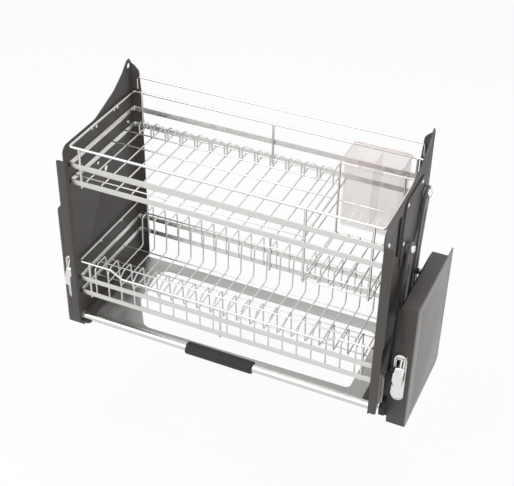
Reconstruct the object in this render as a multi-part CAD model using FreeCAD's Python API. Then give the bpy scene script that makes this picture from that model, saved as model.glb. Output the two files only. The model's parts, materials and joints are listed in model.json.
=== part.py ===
import FreeCAD, Part
import math
import os

os.makedirs("parts", exist_ok=True)

# Overall size of the rack, mm: front is -Y, up is +Z
OVERALL_WIDTH = 764.0
HOUSING_WIDTH = 39.0
HOUSING_HEIGHT = 292.0
HOUSING_FRONT_Y = 50.0
COVER_BACK_Y = 236.0
PLATE_BACK_Y = 268.0
NOSE_Y = -2.0
SIDE_GAP = 23.7

# Sheet thicknesses
PANEL_T = 1.5
PLATE_T = 2.0
COVER_T = 1.2
STRIP_T = 2.0

# Carriage side panels
PANEL_BOTTOM_Z = 52.5
LIP_Z = 61.0
LIP_FRONT_Y = 27.0
PANEL_TOP_Z = 478.5
PANEL_TIP_Z = 548.0
PANEL_BACK_Y = 263.5
FLANGE_OUT = 17.5
FLANGE_IN = 22.0
FLANGE_TOP_Z = 446.0
FLANGE_TRIM = 2.0
LEFT_TRIM = 4.0
LEFT_NOTCH = 8.0
NOTCH_LOW_Z = 172.0
NOTCH_HIGH_Z = 222.0
EAR_HOLE_R = 5.5

# Swing arms
ARM_LENGTH = 255.0
ARM_LEAN = 10.0
ARM_TRAVEL = 110.0
ARM_W = 30.0
ARM_T = 5.0
PIN_R = 5.0
SHAFT_R = 6.0
FIT = 0.05
REAR_PIVOT_Y = 175.7
REAR_PIVOT_Z = 178.9
PIVOT_STEP_Y = 80.0
PIVOT_STEP_Z = 76.0
STOP_R = 6.0
STOP_GAP = 0.3
CLOSED_STOP_RUN = 82.0
OPEN_STOP_RUN = 40.0

# Handle
TUBE_R = 8.0
TUBE_WALL = 1.2
TUBE_Y = 16.0
TUBE_Z = 62.3
GRIP_R = 13.0
GRIP_LEFT = -75.0
GRIP_RIGHT = 72.0

# Baskets
RIM_R = 2.5
WIRE_R = 1.5
BAND_H = 11.5
BASKET_FRONT_Y = 12.0
BASKET_BACK_Y = 261.9
UPPER_RIM_Z = 474.0
UPPER_BAND_Z = 428.0
UPPER_LOW_BAND_Z = 391.0
UPPER_FLOOR_Z = 404.0
UPPER_PITCH = 33.0
LOWER_RIM_Z = 207.0
LOWER_RIM_DIP_Z = 191.5
LOWER_BAND_Z = 158.5
LOWER_LOW_BAND_Z = 123.5
LOWER_FLOOR_Z = 130.0
RACK_PITCH = 29.5
RACK_TOP_Z = 200.0
RACK_END_GAP = 37.0
POST_INSET = 23.8
FLOOR_INSET = 36.8
DIP_START = 52.0
DIP_RUN = 25.0

# Hanging section at the right end of the upper basket
HANG_WIDTH = 127.0
HANG_BACK_Y = 186.0
HANG_FLOOR_Z = 315.0

# Lift-out cutlery box
BOX_LEFT_GAP = 3.0
BOX_RIGHT_GAP = 8.0
BOX_FRONT_Y = 191.0
BOX_BACK_Y = 254.0
BOX_BOTTOM_Z = 331.0
BOX_TOP_Z = 484.0
BOX_WALL = 2.0

# Guard rail over the back
RAIL_Z = 508.0
RAIL_INSET = 19.8

# Force adjuster in the front of each housing
BEZEL_IN = 3.0
BEZEL_W = 26.0
BEZEL_LOW_Z = 68.0
BEZEL_HIGH_Z = 181.0
LEVER_W = 18.8
LEVER_AXIS_Y = 54.0
LEVER_AXIS_Z = 164.0
LEVER_PAD_LOW_Z = 112.0
LEVER_PAD_Y = 31.0
PAD_W = 25.2
CUP_LOW_Z = 112.0
CUP_HIGH_Z = 176.0
WINDOW_LOW_Z = 115.0
WINDOW_HIGH_Z = 172.0
TRUNNION_R = 1.5

# Screws, rivets and holes
SCREW_R = 2.5
SCREW_HEAD_R = 5.0
RIVET_R = 2.0
RIVET_HEAD_R = 4.0
COVER_SCREW_R = 2.0
MOUNT_HOLE_R = 2.75
MOUNT_Y = (75.0, 253.0)
MOUNT_Z = (21.0, 271.0)

# Guard beside the arms at the foot of each housing
GUARD_T = 1.5
GUARD_W = 11.0
GUARD_LOW_Z = 17.0
GUARD_HIGH_Z = 132.0
GUARD_BACK_Y = 84.0

# Torsion spring round each drive shaft
SPRING_R = 11.0
SPRING_WIRE_R = 1.75
SPRING_PITCH = 4.0
SPRING_TURNS = 3.0

# Visible coil behind each adjuster lever
COIL_R = 4.6
COIL_WIRE_R = 0.7
COIL_PITCH = 8.0
COIL_TURNS = 5.0

# Derived positions across the width
half = OVERALL_WIDTH / 2
housing_in = half - HOUSING_WIDTH
panel_out = housing_in - SIDE_GAP
panel_in = panel_out - PANEL_T
plate_in = half - PLATE_T
bracket_out = panel_out + 3.0
arm_in = panel_out + 6.7
arm_out = arm_in + ARM_T
web_in = housing_in + COVER_T + 0.8
web_out = web_in + 3.0
guard_in = housing_in - GUARD_W
centre_y = (NOSE_Y + PLATE_BACK_Y) / 2
spring_x0 = web_out + 2.5
spring_x1 = spring_x0 + 15.6
damper_x0 = plate_in - 12.0
tube_half = panel_in - 1.8
post_x = panel_in - POST_INSET
hang_left = post_x - HANG_WIDTH
box_left = hang_left + BOX_LEFT_GAP
box_right = post_x - BOX_RIGHT_GAP
rail_half = panel_in - RAIL_INSET
floor_left = FLOOR_INSET - panel_in
rack_count = int(2 * (panel_in - RACK_END_GAP) / RACK_PITCH) + 1
shelf_front = TUBE_Y + TUBE_R + 1.5
shelf_back = PANEL_BACK_Y - 8

# Pivot points in the plane of the arms: (y, z)
lean = math.radians(ARM_LEAN)
rear_low = (REAR_PIVOT_Y, REAR_PIVOT_Z)
front_low = (REAR_PIVOT_Y - PIVOT_STEP_Y, REAR_PIVOT_Z - PIVOT_STEP_Z)
reach_y = ARM_LENGTH * math.sin(lean)
reach_z = ARM_LENGTH * math.cos(lean)
rear_high = (rear_low[0] + reach_y, rear_low[1] + reach_z)
front_high = (front_low[0] + reach_y, front_low[1] + reach_z)


def vec(x, y, z):
    return FreeCAD.Vector(x, y, z)


def block(x0, x1, y0, y1, z0, z1):
    """Box between two corners."""
    return Part.makeBox(x1 - x0, y1 - y0, z1 - z0, vec(x0, y0, z0))


def rod(a, b, r):
    """Round bar of radius r from point a to point b."""
    start = FreeCAD.Vector(*a)
    run = FreeCAD.Vector(*b).sub(start)
    return Part.makeCylinder(r, run.Length, start, run)


def disc(x0, x1, yz, r):
    """Round bar along X at a (y, z) point."""
    return rod((x0, yz[0], yz[1]), (x1, yz[0], yz[1]), r)


def ring(x0, x1, yz, r_out, r_in):
    """Tube along X at a (y, z) point."""
    return disc(x0, x1, yz, r_out).cut(disc(x0 - 1, x1 + 1, yz, r_in))


def rounded_wire(points, place):
    """Closed outline through (u, v, radius) points with each corner rounded to its radius."""
    stops = []
    count = len(points)
    for i in range(count):
        u, v, r = points[i]
        before = FreeCAD.Vector(points[i - 1][0] - u, points[i - 1][1] - v, 0)
        after = FreeCAD.Vector(points[(i + 1) % count][0] - u, points[(i + 1) % count][1] - v, 0)
        before.normalize()
        after.normalize()
        if r <= 0:
            stops.append(((u, v), None, (u, v)))
            continue
        angle = before.getAngle(after)
        back = r / math.tan(angle / 2)
        out = r / math.sin(angle / 2) - r
        mid = before.add(after)
        mid.normalize()
        first = (u + before.x * back, v + before.y * back)
        last = (u + after.x * back, v + after.y * back)
        stops.append((first, (u + mid.x * out, v + mid.y * out), last))
    edges = []
    for i in range(count):
        first, middle, last = stops[i]
        start = stops[i - 1][2]
        if math.dist(start, first) > 1e-6:
            edges.append(Part.makeLine(place(*start), place(*first)))
        if middle:
            edges.append(Part.Arc(place(*first), place(*middle), place(*last)).toShape())
    return Part.Wire(edges)


def sheet_x(points, x0, x1):
    """Plate across X with a (y, z, radius) outline."""
    wire = rounded_wire(points, lambda u, v: vec(x0, u, v))
    return Part.Face(wire).extrude(vec(x1 - x0, 0, 0))


def sheet_y(points, y0, y1):
    """Plate across Y with an (x, z, radius) outline."""
    wire = rounded_wire(points, lambda u, v: vec(u, y0, v))
    return Part.Face(wire).extrude(vec(0, y1 - y0, 0))


def sheet_z(points, z0, z1):
    """Plate across Z with an (x, y, radius) outline."""
    wire = rounded_wire(points, lambda u, v: vec(u, v, z0))
    return Part.Face(wire).extrude(vec(0, 0, z1 - z0))


def rect(u0, u1, v0, v1, r):
    """Rounded rectangle as (u, v, radius) points."""
    return [(u0, v0, r), (u1, v0, r), (u1, v1, r), (u0, v1, r)]


def bar(points, r, closed=False):
    """Round wire along straight runs with mitred corners."""
    spots = [FreeCAD.Vector(*p) for p in points]
    if closed:
        middle = spots[0].add(spots[1]).multiply(0.5)
        spots = [middle] + spots[1:] + [spots[0], middle]
    path = Part.makePolygon(spots)
    way = spots[1].sub(spots[0])
    hoop = Part.Wire(Part.makeCircle(r, spots[0], way))
    return path.makePipeShell([hoop], True, False, 1)


def join(shapes):
    """One welded solid out of overlapping pieces."""
    first = shapes[0]
    return first.multiFuse(shapes[1:])


def hand(shape):
    """Left hand copy of a right hand piece."""
    return shape.mirror(vec(0, 0, 0), vec(1, 0, 0))


def save(name, shape):
    """Write one piece with the rack centred front to back."""
    moved = shape.copy()
    moved.translate(vec(0, -centre_y, 0))
    moved.exportStep("parts/" + name + ".step")
    print(name, len(shape.Solids), "solids", round(shape.Volume), "mm3", shape.isValid())


def save_pair(name, shape):
    """Write the right hand piece and its mirror image."""
    save(name + "_right", shape)
    save(name + "_left", hand(shape))


def save_group(name, shapes):
    """Write the same pieces on both sides as one set of separate solids."""
    solids = []
    for shape in shapes:
        solids.extend(shape.Solids)
        solids.extend(hand(shape).Solids)
    save(name, Part.makeCompound(solids))


def stadium(yz0, yz1, half_width, x0, x1):
    """Bar with round ends between two (y, z) points."""
    dy = yz1[0] - yz0[0]
    dz = yz1[1] - yz0[1]
    size = math.hypot(dy, dz)
    ny = -dz / size * half_width
    nz = dy / size * half_width
    ey = dy / size * half_width
    ez = dz / size * half_width
    a = vec(x0, yz0[0] + ny, yz0[1] + nz)
    b = vec(x0, yz1[0] + ny, yz1[1] + nz)
    top = vec(x0, yz1[0] + ey, yz1[1] + ez)
    c = vec(x0, yz1[0] - ny, yz1[1] - nz)
    d = vec(x0, yz0[0] - ny, yz0[1] - nz)
    low = vec(x0, yz0[0] - ey, yz0[1] - ez)
    edges = [
        Part.makeLine(a, b),
        Part.Arc(b, top, c).toShape(),
        Part.makeLine(c, d),
        Part.Arc(d, low, a).toShape(),
    ]
    return Part.Face(Part.Wire(edges)).extrude(vec(x1 - x0, 0, 0))


def along(low, high, run, side):
    """Point at a distance along an arm and off to its back side."""
    dy = (high[0] - low[0]) / ARM_LENGTH
    dz = (high[1] - low[1]) / ARM_LENGTH
    return (low[0] + dy * run + dz * side, low[1] + dz * run - dy * side)


def fold(body, xy, corner):
    """Round the outside of a sheet fold that runs up through a corner block."""
    box = corner.BoundBox
    bend = rod((xy[0], xy[1], box.ZMin), (xy[0], xy[1], box.ZMax), PANEL_T)
    return body.cut(corner).fuse(bend.common(corner))


def side_panel(trim, notch, with_tab):
    """Folded sheet side of the moving carriage, right hand."""
    back = PANEL_BACK_Y
    tip = PANEL_TIP_Z
    top = PANEL_TOP_Z
    outline = [
        (0, PANEL_BOTTOM_Z, 4),
        (LIP_FRONT_Y - 3, PANEL_BOTTOM_Z, 3),
        (LIP_FRONT_Y, LIP_Z, 0),
        (back, LIP_Z, 0),
        (back, tip - 12, 4),
        (back - 7.5, tip, 5),
        (back - 17.5, tip - 2, 8),
        (back - 38.5, tip - 22, 30),
        (back - 73.5, tip - 44, 50),
        (back - 147.5, top, 50),
        (NOSE_Y, top, 17),
        (NOSE_Y, FLANGE_TOP_Z + 4, 0),
        (0, FLANGE_TOP_Z, 0),
    ]
    web = sheet_x(outline, panel_in, panel_out)
    x1 = panel_out + FLANGE_OUT
    low = PANEL_BOTTOM_Z + 5
    edge = [(x1 - trim, low, 5)]
    if notch > trim:
        edge.append((x1 - trim, NOTCH_LOW_Z - 7, 3))
        edge.append((x1 - notch, NOTCH_LOW_Z, 3))
    edge.append((x1 - notch, NOTCH_HIGH_Z, 3))
    edge.append((x1, NOTCH_HIGH_Z + 8, 3))
    edge.append((x1, FLANGE_TOP_Z, 5))
    front = sheet_y([(panel_in, low, 0)] + edge + [(panel_in, FLANGE_TOP_Z, 0)], 0, PANEL_T)
    x0 = panel_out - FLANGE_IN
    rear_edge = [
        (x0, LIP_Z, 4),
        (panel_out, LIP_Z, 0),
        (panel_out, tip - 12, 0),
        (x0 + 13, tip - 17, 8),
        (x0 + 3, tip - 27, 12),
        (x0, tip - 75, 20),
    ]
    rear = sheet_y(rear_edge, back - PANEL_T, back)
    lip_edge = [(x0, LIP_FRONT_Y, 4), (panel_out, LIP_FRONT_Y, 0), (panel_out, back, 0), (x0, back, 4)]
    lip = sheet_z(lip_edge, LIP_Z, LIP_Z + PANEL_T)
    tab_edge = [(x0, 3, 8), (panel_out, 3, 0), (panel_out, LIP_FRONT_Y - 6, 0), (x0, LIP_FRONT_Y - 6, 4)]
    tab = sheet_z(tab_edge, PANEL_BOTTOM_Z, PANEL_BOTTOM_Z + PANEL_T)
    body = join([web, front, rear, lip])
    if with_tab:
        body = body.fuse(tab)
    body = fold(body, (panel_out, PANEL_T), block(panel_in, panel_out, 0, PANEL_T, low, FLANGE_TOP_Z))
    corner = block(panel_in, panel_out, back - PANEL_T, back, LIP_Z + PANEL_T, tip - 16)
    body = fold(body, (panel_in, back - PANEL_T), corner)
    holes = [disc(panel_in - 1, panel_out + 1, (back - 11.5, tip - 15), EAR_HOLE_R)]
    for spot in (rear_high, front_high):
        holes.append(disc(panel_in - 1, panel_out + 1, spot, PIN_R))
    for spot in screw_spots:
        holes.append(disc(panel_in - 1, panel_out + 1, spot, SCREW_R))
    holes.append(disc(panel_in - 1, panel_out + 1, (TUBE_Y, TUBE_Z), SCREW_R))
    for spot in rivet_spots:
        holes.append(disc(panel_in - 1, panel_out + 1, spot, RIVET_R))
    return body.cut(Part.makeCompound(holes))


# Fixings of the baskets and of the hinge bracket on each side panel: (y, z)
screw_spots = [
    (BASKET_FRONT_Y + 12, UPPER_BAND_Z + BAND_H / 2 + 1),
    (BASKET_BACK_Y - 8.9, UPPER_BAND_Z + BAND_H / 2 + 1),
    (BASKET_FRONT_Y + 12, LOWER_BAND_Z + BAND_H / 2),
    (BASKET_BACK_Y - 15.9, LOWER_BAND_Z + BAND_H / 2),
]
py, pz = front_high
qy, qz = rear_high
rivet_spots = [
    (py - 21, qz + 32),
    (qy - 19, qz + 34),
    (py - 26, pz + 26.5),
    (qy + 18, qz - 18),
]

# Carriage side panels: the left one is relieved beside the adjuster and has a foot tab
save("side_panel_right", side_panel(FLANGE_TRIM, FLANGE_TRIM, False))
save("side_panel_left", hand(side_panel(LEFT_TRIM, LEFT_NOTCH, True)))

# Hinge bracket that stiffens the panel round the two upper pivots
bracket = sheet_x(
    [
        (py - 36, pz - 18, 12),
        (py - 8, pz - 38, 12),
        (py + 20, pz - 38, 16),
        (qy + 28, qz - 44, 14),
        (qy + 28, qz + 16, 14),
        (qy - 12, qz + 44, 12),
        (py - 28, qz + 42, 12),
        (py - 36, qz + 10, 20),
    ],
    panel_out,
    bracket_out,
)
for spot in (rear_high, front_high):
    bracket = bracket.cut(disc(panel_out - 1, bracket_out + 1, spot, PIN_R))
for spot in rivet_spots:
    bracket = bracket.cut(disc(panel_out - 1, bracket_out + 1, spot, RIVET_R))
save_pair("hinge_bracket", bracket)

rivets = []
for spot in rivet_spots:
    shank = disc(panel_in - 1.2, bracket_out + 1.4, spot, RIVET_R)
    outer = disc(bracket_out, bracket_out + 1.4, spot, RIVET_HEAD_R)
    inner = disc(panel_in - 1.2, panel_in, spot, RIVET_HEAD_R - 0.5)
    rivets.append(join([shank, outer, inner]))
save_group("bracket_rivets", rivets)

# Upper pivot pins with a chrome head outside: the front one is riveted over inside,
# the rear one ends flush behind a basket band
pins = []
for spot in (rear_high, front_high):
    shank = disc(panel_in, arm_out + 0.1, spot, PIN_R)
    head = disc(arm_out + 0.1, housing_in - 5.5, spot, 9.0)
    pin = shank.fuse(head)
    if spot == front_high:
        pin = pin.fuse(disc(panel_in - 1.5, panel_in, spot, PIN_R + 1.5))
    rims = [e for e in pin.Edges if abs(e.BoundBox.XMax - (housing_in - 5.5)) < 0.01]
    rims = [e for e in rims if e.BoundBox.XLength < 0.01]
    pins.append(pin.makeChamfer(1.6, rims))
save_group("upper_pivot_pins", pins)

washers = []
for spot in (rear_high, front_high):
    washers.append(ring(bracket_out, arm_in - 0.1, spot, 10.0, PIN_R))
save_group("pivot_washers", washers)


# Swing arms with a raised rib between their ends
def swing_arm(low, high, low_bore, high_bore):
    plate = stadium(low, high, ARM_W / 2, arm_in, arm_out)
    rib_low = along(low, high, 34, 0)
    rib_high = along(low, high, ARM_LENGTH - 34, 0)
    rib = stadium(rib_low, rib_high, 6.5, arm_in - 1.6, arm_in + 1)
    groove = stadium(rib_low, rib_high, 4.5, arm_out - 1.6, arm_out + 1)
    arm = plate.fuse(rib).cut(groove)
    arm = arm.cut(disc(arm_in - 3, arm_out + 1, low, low_bore))
    return arm.cut(disc(arm_in - 3, arm_out + 1, high, high_bore))


save_pair("rear_arm", swing_arm(rear_low, rear_high, SHAFT_R, PIN_R + FIT))
save_pair("front_arm", swing_arm(front_low, front_high, PIN_R + FIT, PIN_R + FIT))

# Drive shaft of each rear arm: it runs through the bearing plate into the damper
shaft = join(
    [
        disc(arm_in - 1.5, damper_x0 + 7.5, rear_low, SHAFT_R),
        disc(arm_in - 1.5, arm_in, rear_low, 9.0),
        disc(arm_out, housing_in - 0.3, rear_low, 9.0),
        disc(spring_x1 + 0.4, damper_x0 - 0.4, rear_low, 13.0),
    ]
)
save_pair("drive_shaft", shaft)

# Fixed pivot pins of the front arms
fixed_pins = []
pin = join(
    [
        disc(arm_in - 2.0, web_out + 1.5, front_low, PIN_R),
        disc(arm_in - 2.0, arm_in - 0.1, front_low, 8.0),
        disc(arm_out + 0.1, housing_in, front_low, 8.0),
    ]
)
fixed_pins.append(pin)
save_group("lower_pivot_pins", fixed_pins)

# Stop pins that end the swing, with rubber sleeves
swing = math.radians(ARM_LEAN - ARM_TRAVEL)
stop_reach = ARM_W / 2 + STOP_R + STOP_GAP
closed_stop = along(rear_low, rear_high, CLOSED_STOP_RUN, stop_reach)
open_stop = (
    front_low[0] + math.sin(swing) * OPEN_STOP_RUN - math.cos(swing) * stop_reach,
    front_low[1] + math.cos(swing) * OPEN_STOP_RUN + math.sin(swing) * stop_reach,
)
stops = []
sleeves = []
for spot in (closed_stop, open_stop):
    core = disc(arm_in - 0.5, web_out + 1.0, spot, STOP_R - 2.5)
    collar = disc(arm_out + 2.5, housing_in, spot, STOP_R)
    stops.append(core.fuse(collar))
    sleeves.append(ring(arm_in - 0.5, arm_out + 2.5, spot, STOP_R, STOP_R - 2.5))
save_group("stop_pins", stops)
save_group("stop_sleeves", sleeves)

# Housing cover: a folded box open towards the mounting plate
h = HOUSING_HEIGHT
cover_outline = [
    (housing_in, 0, 2),
    (plate_in, 0, 0),
    (plate_in, h, 0),
    (housing_in + 6, h, 3),
    (housing_in, h - 14, 6),
]
cover = sheet_y(cover_outline, HOUSING_FRONT_Y, COVER_BACK_Y)
t = COVER_T
hollow = [
    (housing_in + t, t, 1),
    (plate_in + 5, t, 0),
    (plate_in + 5, h - t, 0),
    (housing_in + 6 + t * 0.6, h - t, 2),
    (housing_in + t, h - 14 - t * 0.4, 5),
]
cover = cover.cut(sheet_y(hollow, HOUSING_FRONT_Y + t, COVER_BACK_Y - t))
bezel_x0 = housing_in + BEZEL_IN
bezel_x1 = bezel_x0 + BEZEL_W
bezel_mid = (bezel_x0 + bezel_x1) / 2
cup_x0 = bezel_mid - LEVER_W / 2 - 2.2
cup_x1 = bezel_mid + LEVER_W / 2 + 2.2
cover = cover.cut(block(cup_x0, cup_x1, 40, 60, CUP_LOW_Z, CUP_HIGH_Z))
cover = cover.cut(disc(housing_in - 1, web_in, rear_low, SHAFT_R + 4))
cover = cover.cut(disc(housing_in - 1, web_in, front_low, PIN_R))
for spot in (closed_stop, open_stop):
    cover = cover.cut(disc(housing_in - 1, web_in, spot, STOP_R - 2.5))
cover_spots = [(HOUSING_FRONT_Y + 25, 56.0), (COVER_BACK_Y - 20, 56.0), (HOUSING_FRONT_Y + 30, 262.0)]
for spot in cover_spots:
    cover = cover.cut(disc(housing_in - 1, web_in, spot, COVER_SCREW_R))
save_pair("housing_cover", cover)

# Mounting plate with four screw holes for the cabinet side
plate = sheet_x(
    [
        (HOUSING_FRONT_Y, 0, 2),
        (PLATE_BACK_Y - 13, 0, 2),
        (PLATE_BACK_Y, 9, 2),
        (PLATE_BACK_Y, h, 4),
        (HOUSING_FRONT_Y, h, 4),
    ],
    plate_in,
    half,
)
for y in MOUNT_Y:
    for z in MOUNT_Z:
        plate = plate.cut(disc(plate_in - 1, half + 1, (y, z), MOUNT_HOLE_R))
save_pair("mount_plate", plate)

# Bearing plate inside the housing, folded out to the mounting plate
web = sheet_x(
    [
        (HOUSING_FRONT_Y + 3, 44, 6),
        (COVER_BACK_Y - 4, 44, 6),
        (COVER_BACK_Y - 4, 274, 6),
        (HOUSING_FRONT_Y + 16, 274, 6),
        (HOUSING_FRONT_Y + 16, 110, 6),
        (HOUSING_FRONT_Y + 3, 98, 6),
    ],
    web_in,
    web_out,
)
low_fold = block(web_in, plate_in, HOUSING_FRONT_Y + 20, COVER_BACK_Y - 20, 44, 47)
high_fold = block(web_in, plate_in, HOUSING_FRONT_Y + 30, COVER_BACK_Y - 20, 271, 274)
bearing = join([web, low_fold, high_fold])
boss = disc(web_out - 1, web_out + 1.6, rear_low, 10.0)
bearing = bearing.fuse(boss)
bearing = bearing.cut(disc(web_in - 1, web_out + 3, rear_low, SHAFT_R + FIT))
bearing = bearing.cut(disc(web_in - 1, web_out + 3, front_low, PIN_R))
for spot in (closed_stop, open_stop):
    bearing = bearing.cut(disc(web_in - 1, web_out + 3, spot, STOP_R - 2.5))
for spot in cover_spots:
    bearing = bearing.cut(disc(web_in - 1, web_out + 3, spot, COVER_SCREW_R))
post_at = (rear_low[0] + SPRING_R + 6.5, rear_low[1] - 30.0)
bearing = bearing.fuse(disc(web_out - 0.5, spring_x0 + 5, post_at, 4.0))
save_pair("bearing_plate", bearing)

# Rotary damper on the mounting plate
damper = disc(damper_x0, plate_in, rear_low, 17.0)
lug = stadium(
    (rear_low[0] - 24, rear_low[1]),
    (rear_low[0] + 24, rear_low[1]),
    6.0,
    plate_in - 3,
    plate_in,
)
damper = damper.fuse(lug)
damper = damper.cut(disc(damper_x0 - 1, damper_x0 + 8.5, rear_low, SHAFT_R + FIT))
for side in (-24, 24):
    damper = damper.cut(disc(plate_in - 4, plate_in + 1, (rear_low[0] + side, rear_low[1]), 2.2))
save_pair("damper", damper)


# Springs wound as one unbroken wire
def biarc(p0, t0, p1, t1):
    """Two arcs that join two points along given directions."""
    chord = p1.sub(p0)
    total = t0.add(t1)
    a = 2 * (1 - t0.dot(t1))
    b = 2 * chord.dot(total)
    c = -chord.dot(chord)
    if abs(a) < 1e-9:
        d = -c / b
    else:
        d = (-b + math.sqrt(b * b - 4 * a * c)) / (2 * a)
    knee = p0.add(p1).add(t0.sub(t1).multiply(d)).multiply(0.5)
    return arc_along(p0, t0, knee), arc_back(knee, p1, t1)


def arc_along(p, t, q):
    """Arc from p along direction t to q."""
    chord = q.sub(p)
    n = chord.sub(FreeCAD.Vector(t).multiply(chord.dot(t)))
    n.normalize()
    r = chord.dot(chord) / (2 * chord.dot(n))
    centre = p.add(FreeCAD.Vector(n).multiply(r))
    mid = p.add(q).multiply(0.5).sub(centre)
    mid.normalize()
    return Part.Arc(p, centre.add(mid.multiply(r)), q).toShape()


def arc_back(p, q, t):
    """Arc from p that reaches q along direction t."""
    chord = p.sub(q)
    n = chord.sub(FreeCAD.Vector(t).multiply(chord.dot(t)))
    n.normalize()
    r = chord.dot(chord) / (2 * chord.dot(n))
    centre = q.add(FreeCAD.Vector(n).multiply(r))
    mid = p.add(q).multiply(0.5).sub(centre)
    mid.normalize()
    return Part.Arc(p, centre.add(mid.multiply(r)), q).toShape()


def coil_edges(centre, side_a, side_b, axis, r, pitch, turns, per_turn):
    """Arcs of a coil that starts at side_a and turns towards side_b."""
    edges = []
    marks = []
    steps = int(round(turns * per_turn))
    rise = pitch / (2 * math.pi * r)
    scale = math.sqrt(1 + rise * rise)
    for i in range(steps + 1):
        turn = 2 * math.pi * i / per_turn
        spoke = FreeCAD.Vector(side_a).multiply(math.cos(turn))
        spoke = spoke.add(FreeCAD.Vector(side_b).multiply(math.sin(turn)))
        way = FreeCAD.Vector(side_b).multiply(math.cos(turn))
        way = way.sub(FreeCAD.Vector(side_a).multiply(math.sin(turn)))
        way = way.add(FreeCAD.Vector(axis).multiply(rise)).multiply(1 / scale)
        spot = centre.add(spoke.multiply(r)).add(FreeCAD.Vector(axis).multiply(pitch * i / per_turn))
        marks.append((spot, way))
    for i in range(steps):
        edges.extend(biarc(marks[i][0], marks[i][1], marks[i + 1][0], marks[i + 1][1]))
    return edges, marks


def least_gap(edges, wire_r):
    """Least clear gap between turns of a wound wire, measured on points."""
    spots = []
    run = 0.0
    for edge in edges:
        count = 12
        for i in range(count):
            first, last = edge.ParameterRange
            spots.append((run + edge.Length * i / count, edge.valueAt(first + (last - first) * i / count)))
        run = run + edge.Length
    best = 1e9
    for i in range(len(spots)):
        for j in range(i + 1, len(spots)):
            if spots[j][0] - spots[i][0] < wire_r * 8:
                continue
            best = min(best, spots[i][1].distanceToPoint(spots[j][1]))
    return best - 2 * wire_r


def wind(edges, wire_r):
    """Sweep a round wire along joined arcs."""
    path = Part.Wire(edges)
    first = edges[0]
    start = first.valueAt(first.ParameterRange[0])
    way = first.tangentAt(first.ParameterRange[0])
    hoop = Part.Wire(Part.makeCircle(wire_r, start, way))
    return path.makePipeShell([hoop], True, False, 0)


axis_x = vec(1, 0, 0)
start_x = spring_x0 + SPRING_WIRE_R
centre = vec(start_x, rear_low[0], rear_low[1])
coil, marks = coil_edges(
    centre, vec(0, 1, 0), vec(0, 0, 1), axis_x, SPRING_R, SPRING_PITCH, SPRING_TURNS, 2
)
lead = marks[0][0].sub(FreeCAD.Vector(marks[0][1]).multiply(26.0))
tail = marks[-1][0].add(FreeCAD.Vector(marks[-1][1]).multiply(16.0))
edges = [Part.makeLine(lead, marks[0][0])] + coil + [Part.makeLine(marks[-1][0], tail)]
print("torsion spring gap", round(least_gap(edges, SPRING_WIRE_R), 2), "mm")
save_group("torsion_springs", [wind(edges, SPRING_WIRE_R)])

# Adjuster bezel: a round-ended chrome plate with a cup behind its window
mid_low = BEZEL_LOW_Z + BEZEL_W / 2
mid_high = BEZEL_HIGH_Z - BEZEL_W / 2


def slot_y(x, z0, z1, half_width, y0, y1):
    """Upright bar with round ends, extruded along Y."""
    a = vec(x - half_width, y0, z0)
    b = vec(x - half_width, y0, z1)
    c = vec(x + half_width, y0, z1)
    d = vec(x + half_width, y0, z0)
    edges_ = [
        Part.makeLine(a, b),
        Part.Arc(b, vec(x, y0, z1 + half_width), c).toShape(),
        Part.makeLine(c, d),
        Part.Arc(d, vec(x, y0, z0 - half_width), a).toShape(),
    ]
    return Part.Face(Part.Wire(edges_)).extrude(vec(0, y1 - y0, 0))


fy = HOUSING_FRONT_Y
hw = BEZEL_W / 2
bezel = slot_y(bezel_mid, mid_low, mid_high, hw, fy - 3.4, fy)
bezel = bezel.cut(slot_y(bezel_mid, mid_low, mid_high, hw - 1.8, fy - 5, fy - 2.0))
cup = block(cup_x0, cup_x1, fy, fy + 14, CUP_LOW_Z, CUP_HIGH_Z)
bezel = bezel.fuse(cup)
room_x0 = cup_x0 + 1.6
room_x1 = cup_x1 - 1.6
bezel = bezel.cut(block(room_x0, room_x1, fy - 1, fy + 12.6, CUP_LOW_Z + 3, CUP_HIGH_Z - 1.6))
window = sheet_y(rect(room_x0, room_x1, WINDOW_LOW_Z, WINDOW_HIGH_Z, 3), fy - 5, fy + 1)
bezel = bezel.cut(window)
side_notch = sheet_y(rect(bezel_x0 - 3, bezel_x0 + 2.2, 107, 116, 1.2), fy - 5, fy + 1)
bezel = bezel.cut(side_notch)
axle = disc(cup_x0 - 1, cup_x1 + 1, (LEVER_AXIS_Y, LEVER_AXIS_Z), TRUNNION_R + FIT)
bezel = bezel.cut(axle)
save_pair("adjuster_bezel", bezel)

# Adjuster lever: two cheeks and a thumb pad that hangs in front of the plate
lever_x0 = bezel_mid - LEVER_W / 2
lever_x1 = bezel_mid + LEVER_W / 2
pad = LEVER_PAD_LOW_Z
cheek = [
    (LEVER_AXIS_Y + 3.4, LEVER_AXIS_Z + 1, 3),
    (LEVER_AXIS_Y - 3.2, LEVER_AXIS_Z + 4.4, 3),
    (fy - 6, pad + 34, 6),
    (LEVER_PAD_Y, pad + 14, 8),
    (LEVER_PAD_Y + 2, pad, 5),
    (fy - 4.4, pad + 4, 3),
    (fy - 4.0, pad + 24, 3),
    (LEVER_AXIS_Y + 2.0, LEVER_AXIS_Z - 14, 3),
]
lever = sheet_x(cheek, lever_x0, lever_x1)
inside = [
    (LEVER_AXIS_Y + 20, LEVER_AXIS_Z + 12, 0),
    (LEVER_AXIS_Y - 16, LEVER_AXIS_Z + 12, 0),
    (fy - 16, pad + 24, 4),
    (fy - 3, pad + 16, 4),
    (LEVER_AXIS_Y + 20, pad + 20, 0),
]
lever = lever.cut(sheet_x(inside, lever_x0 + 2.2, lever_x1 - 2.2))
lever = lever.cut(disc(lever_x0 + 4, lever_x1 - 4, (fy - 1, pad + 9), 9.0))
stub_in = disc(cup_x0 + 0.3, lever_x0 + 1, (LEVER_AXIS_Y, LEVER_AXIS_Z), TRUNNION_R)
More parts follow.
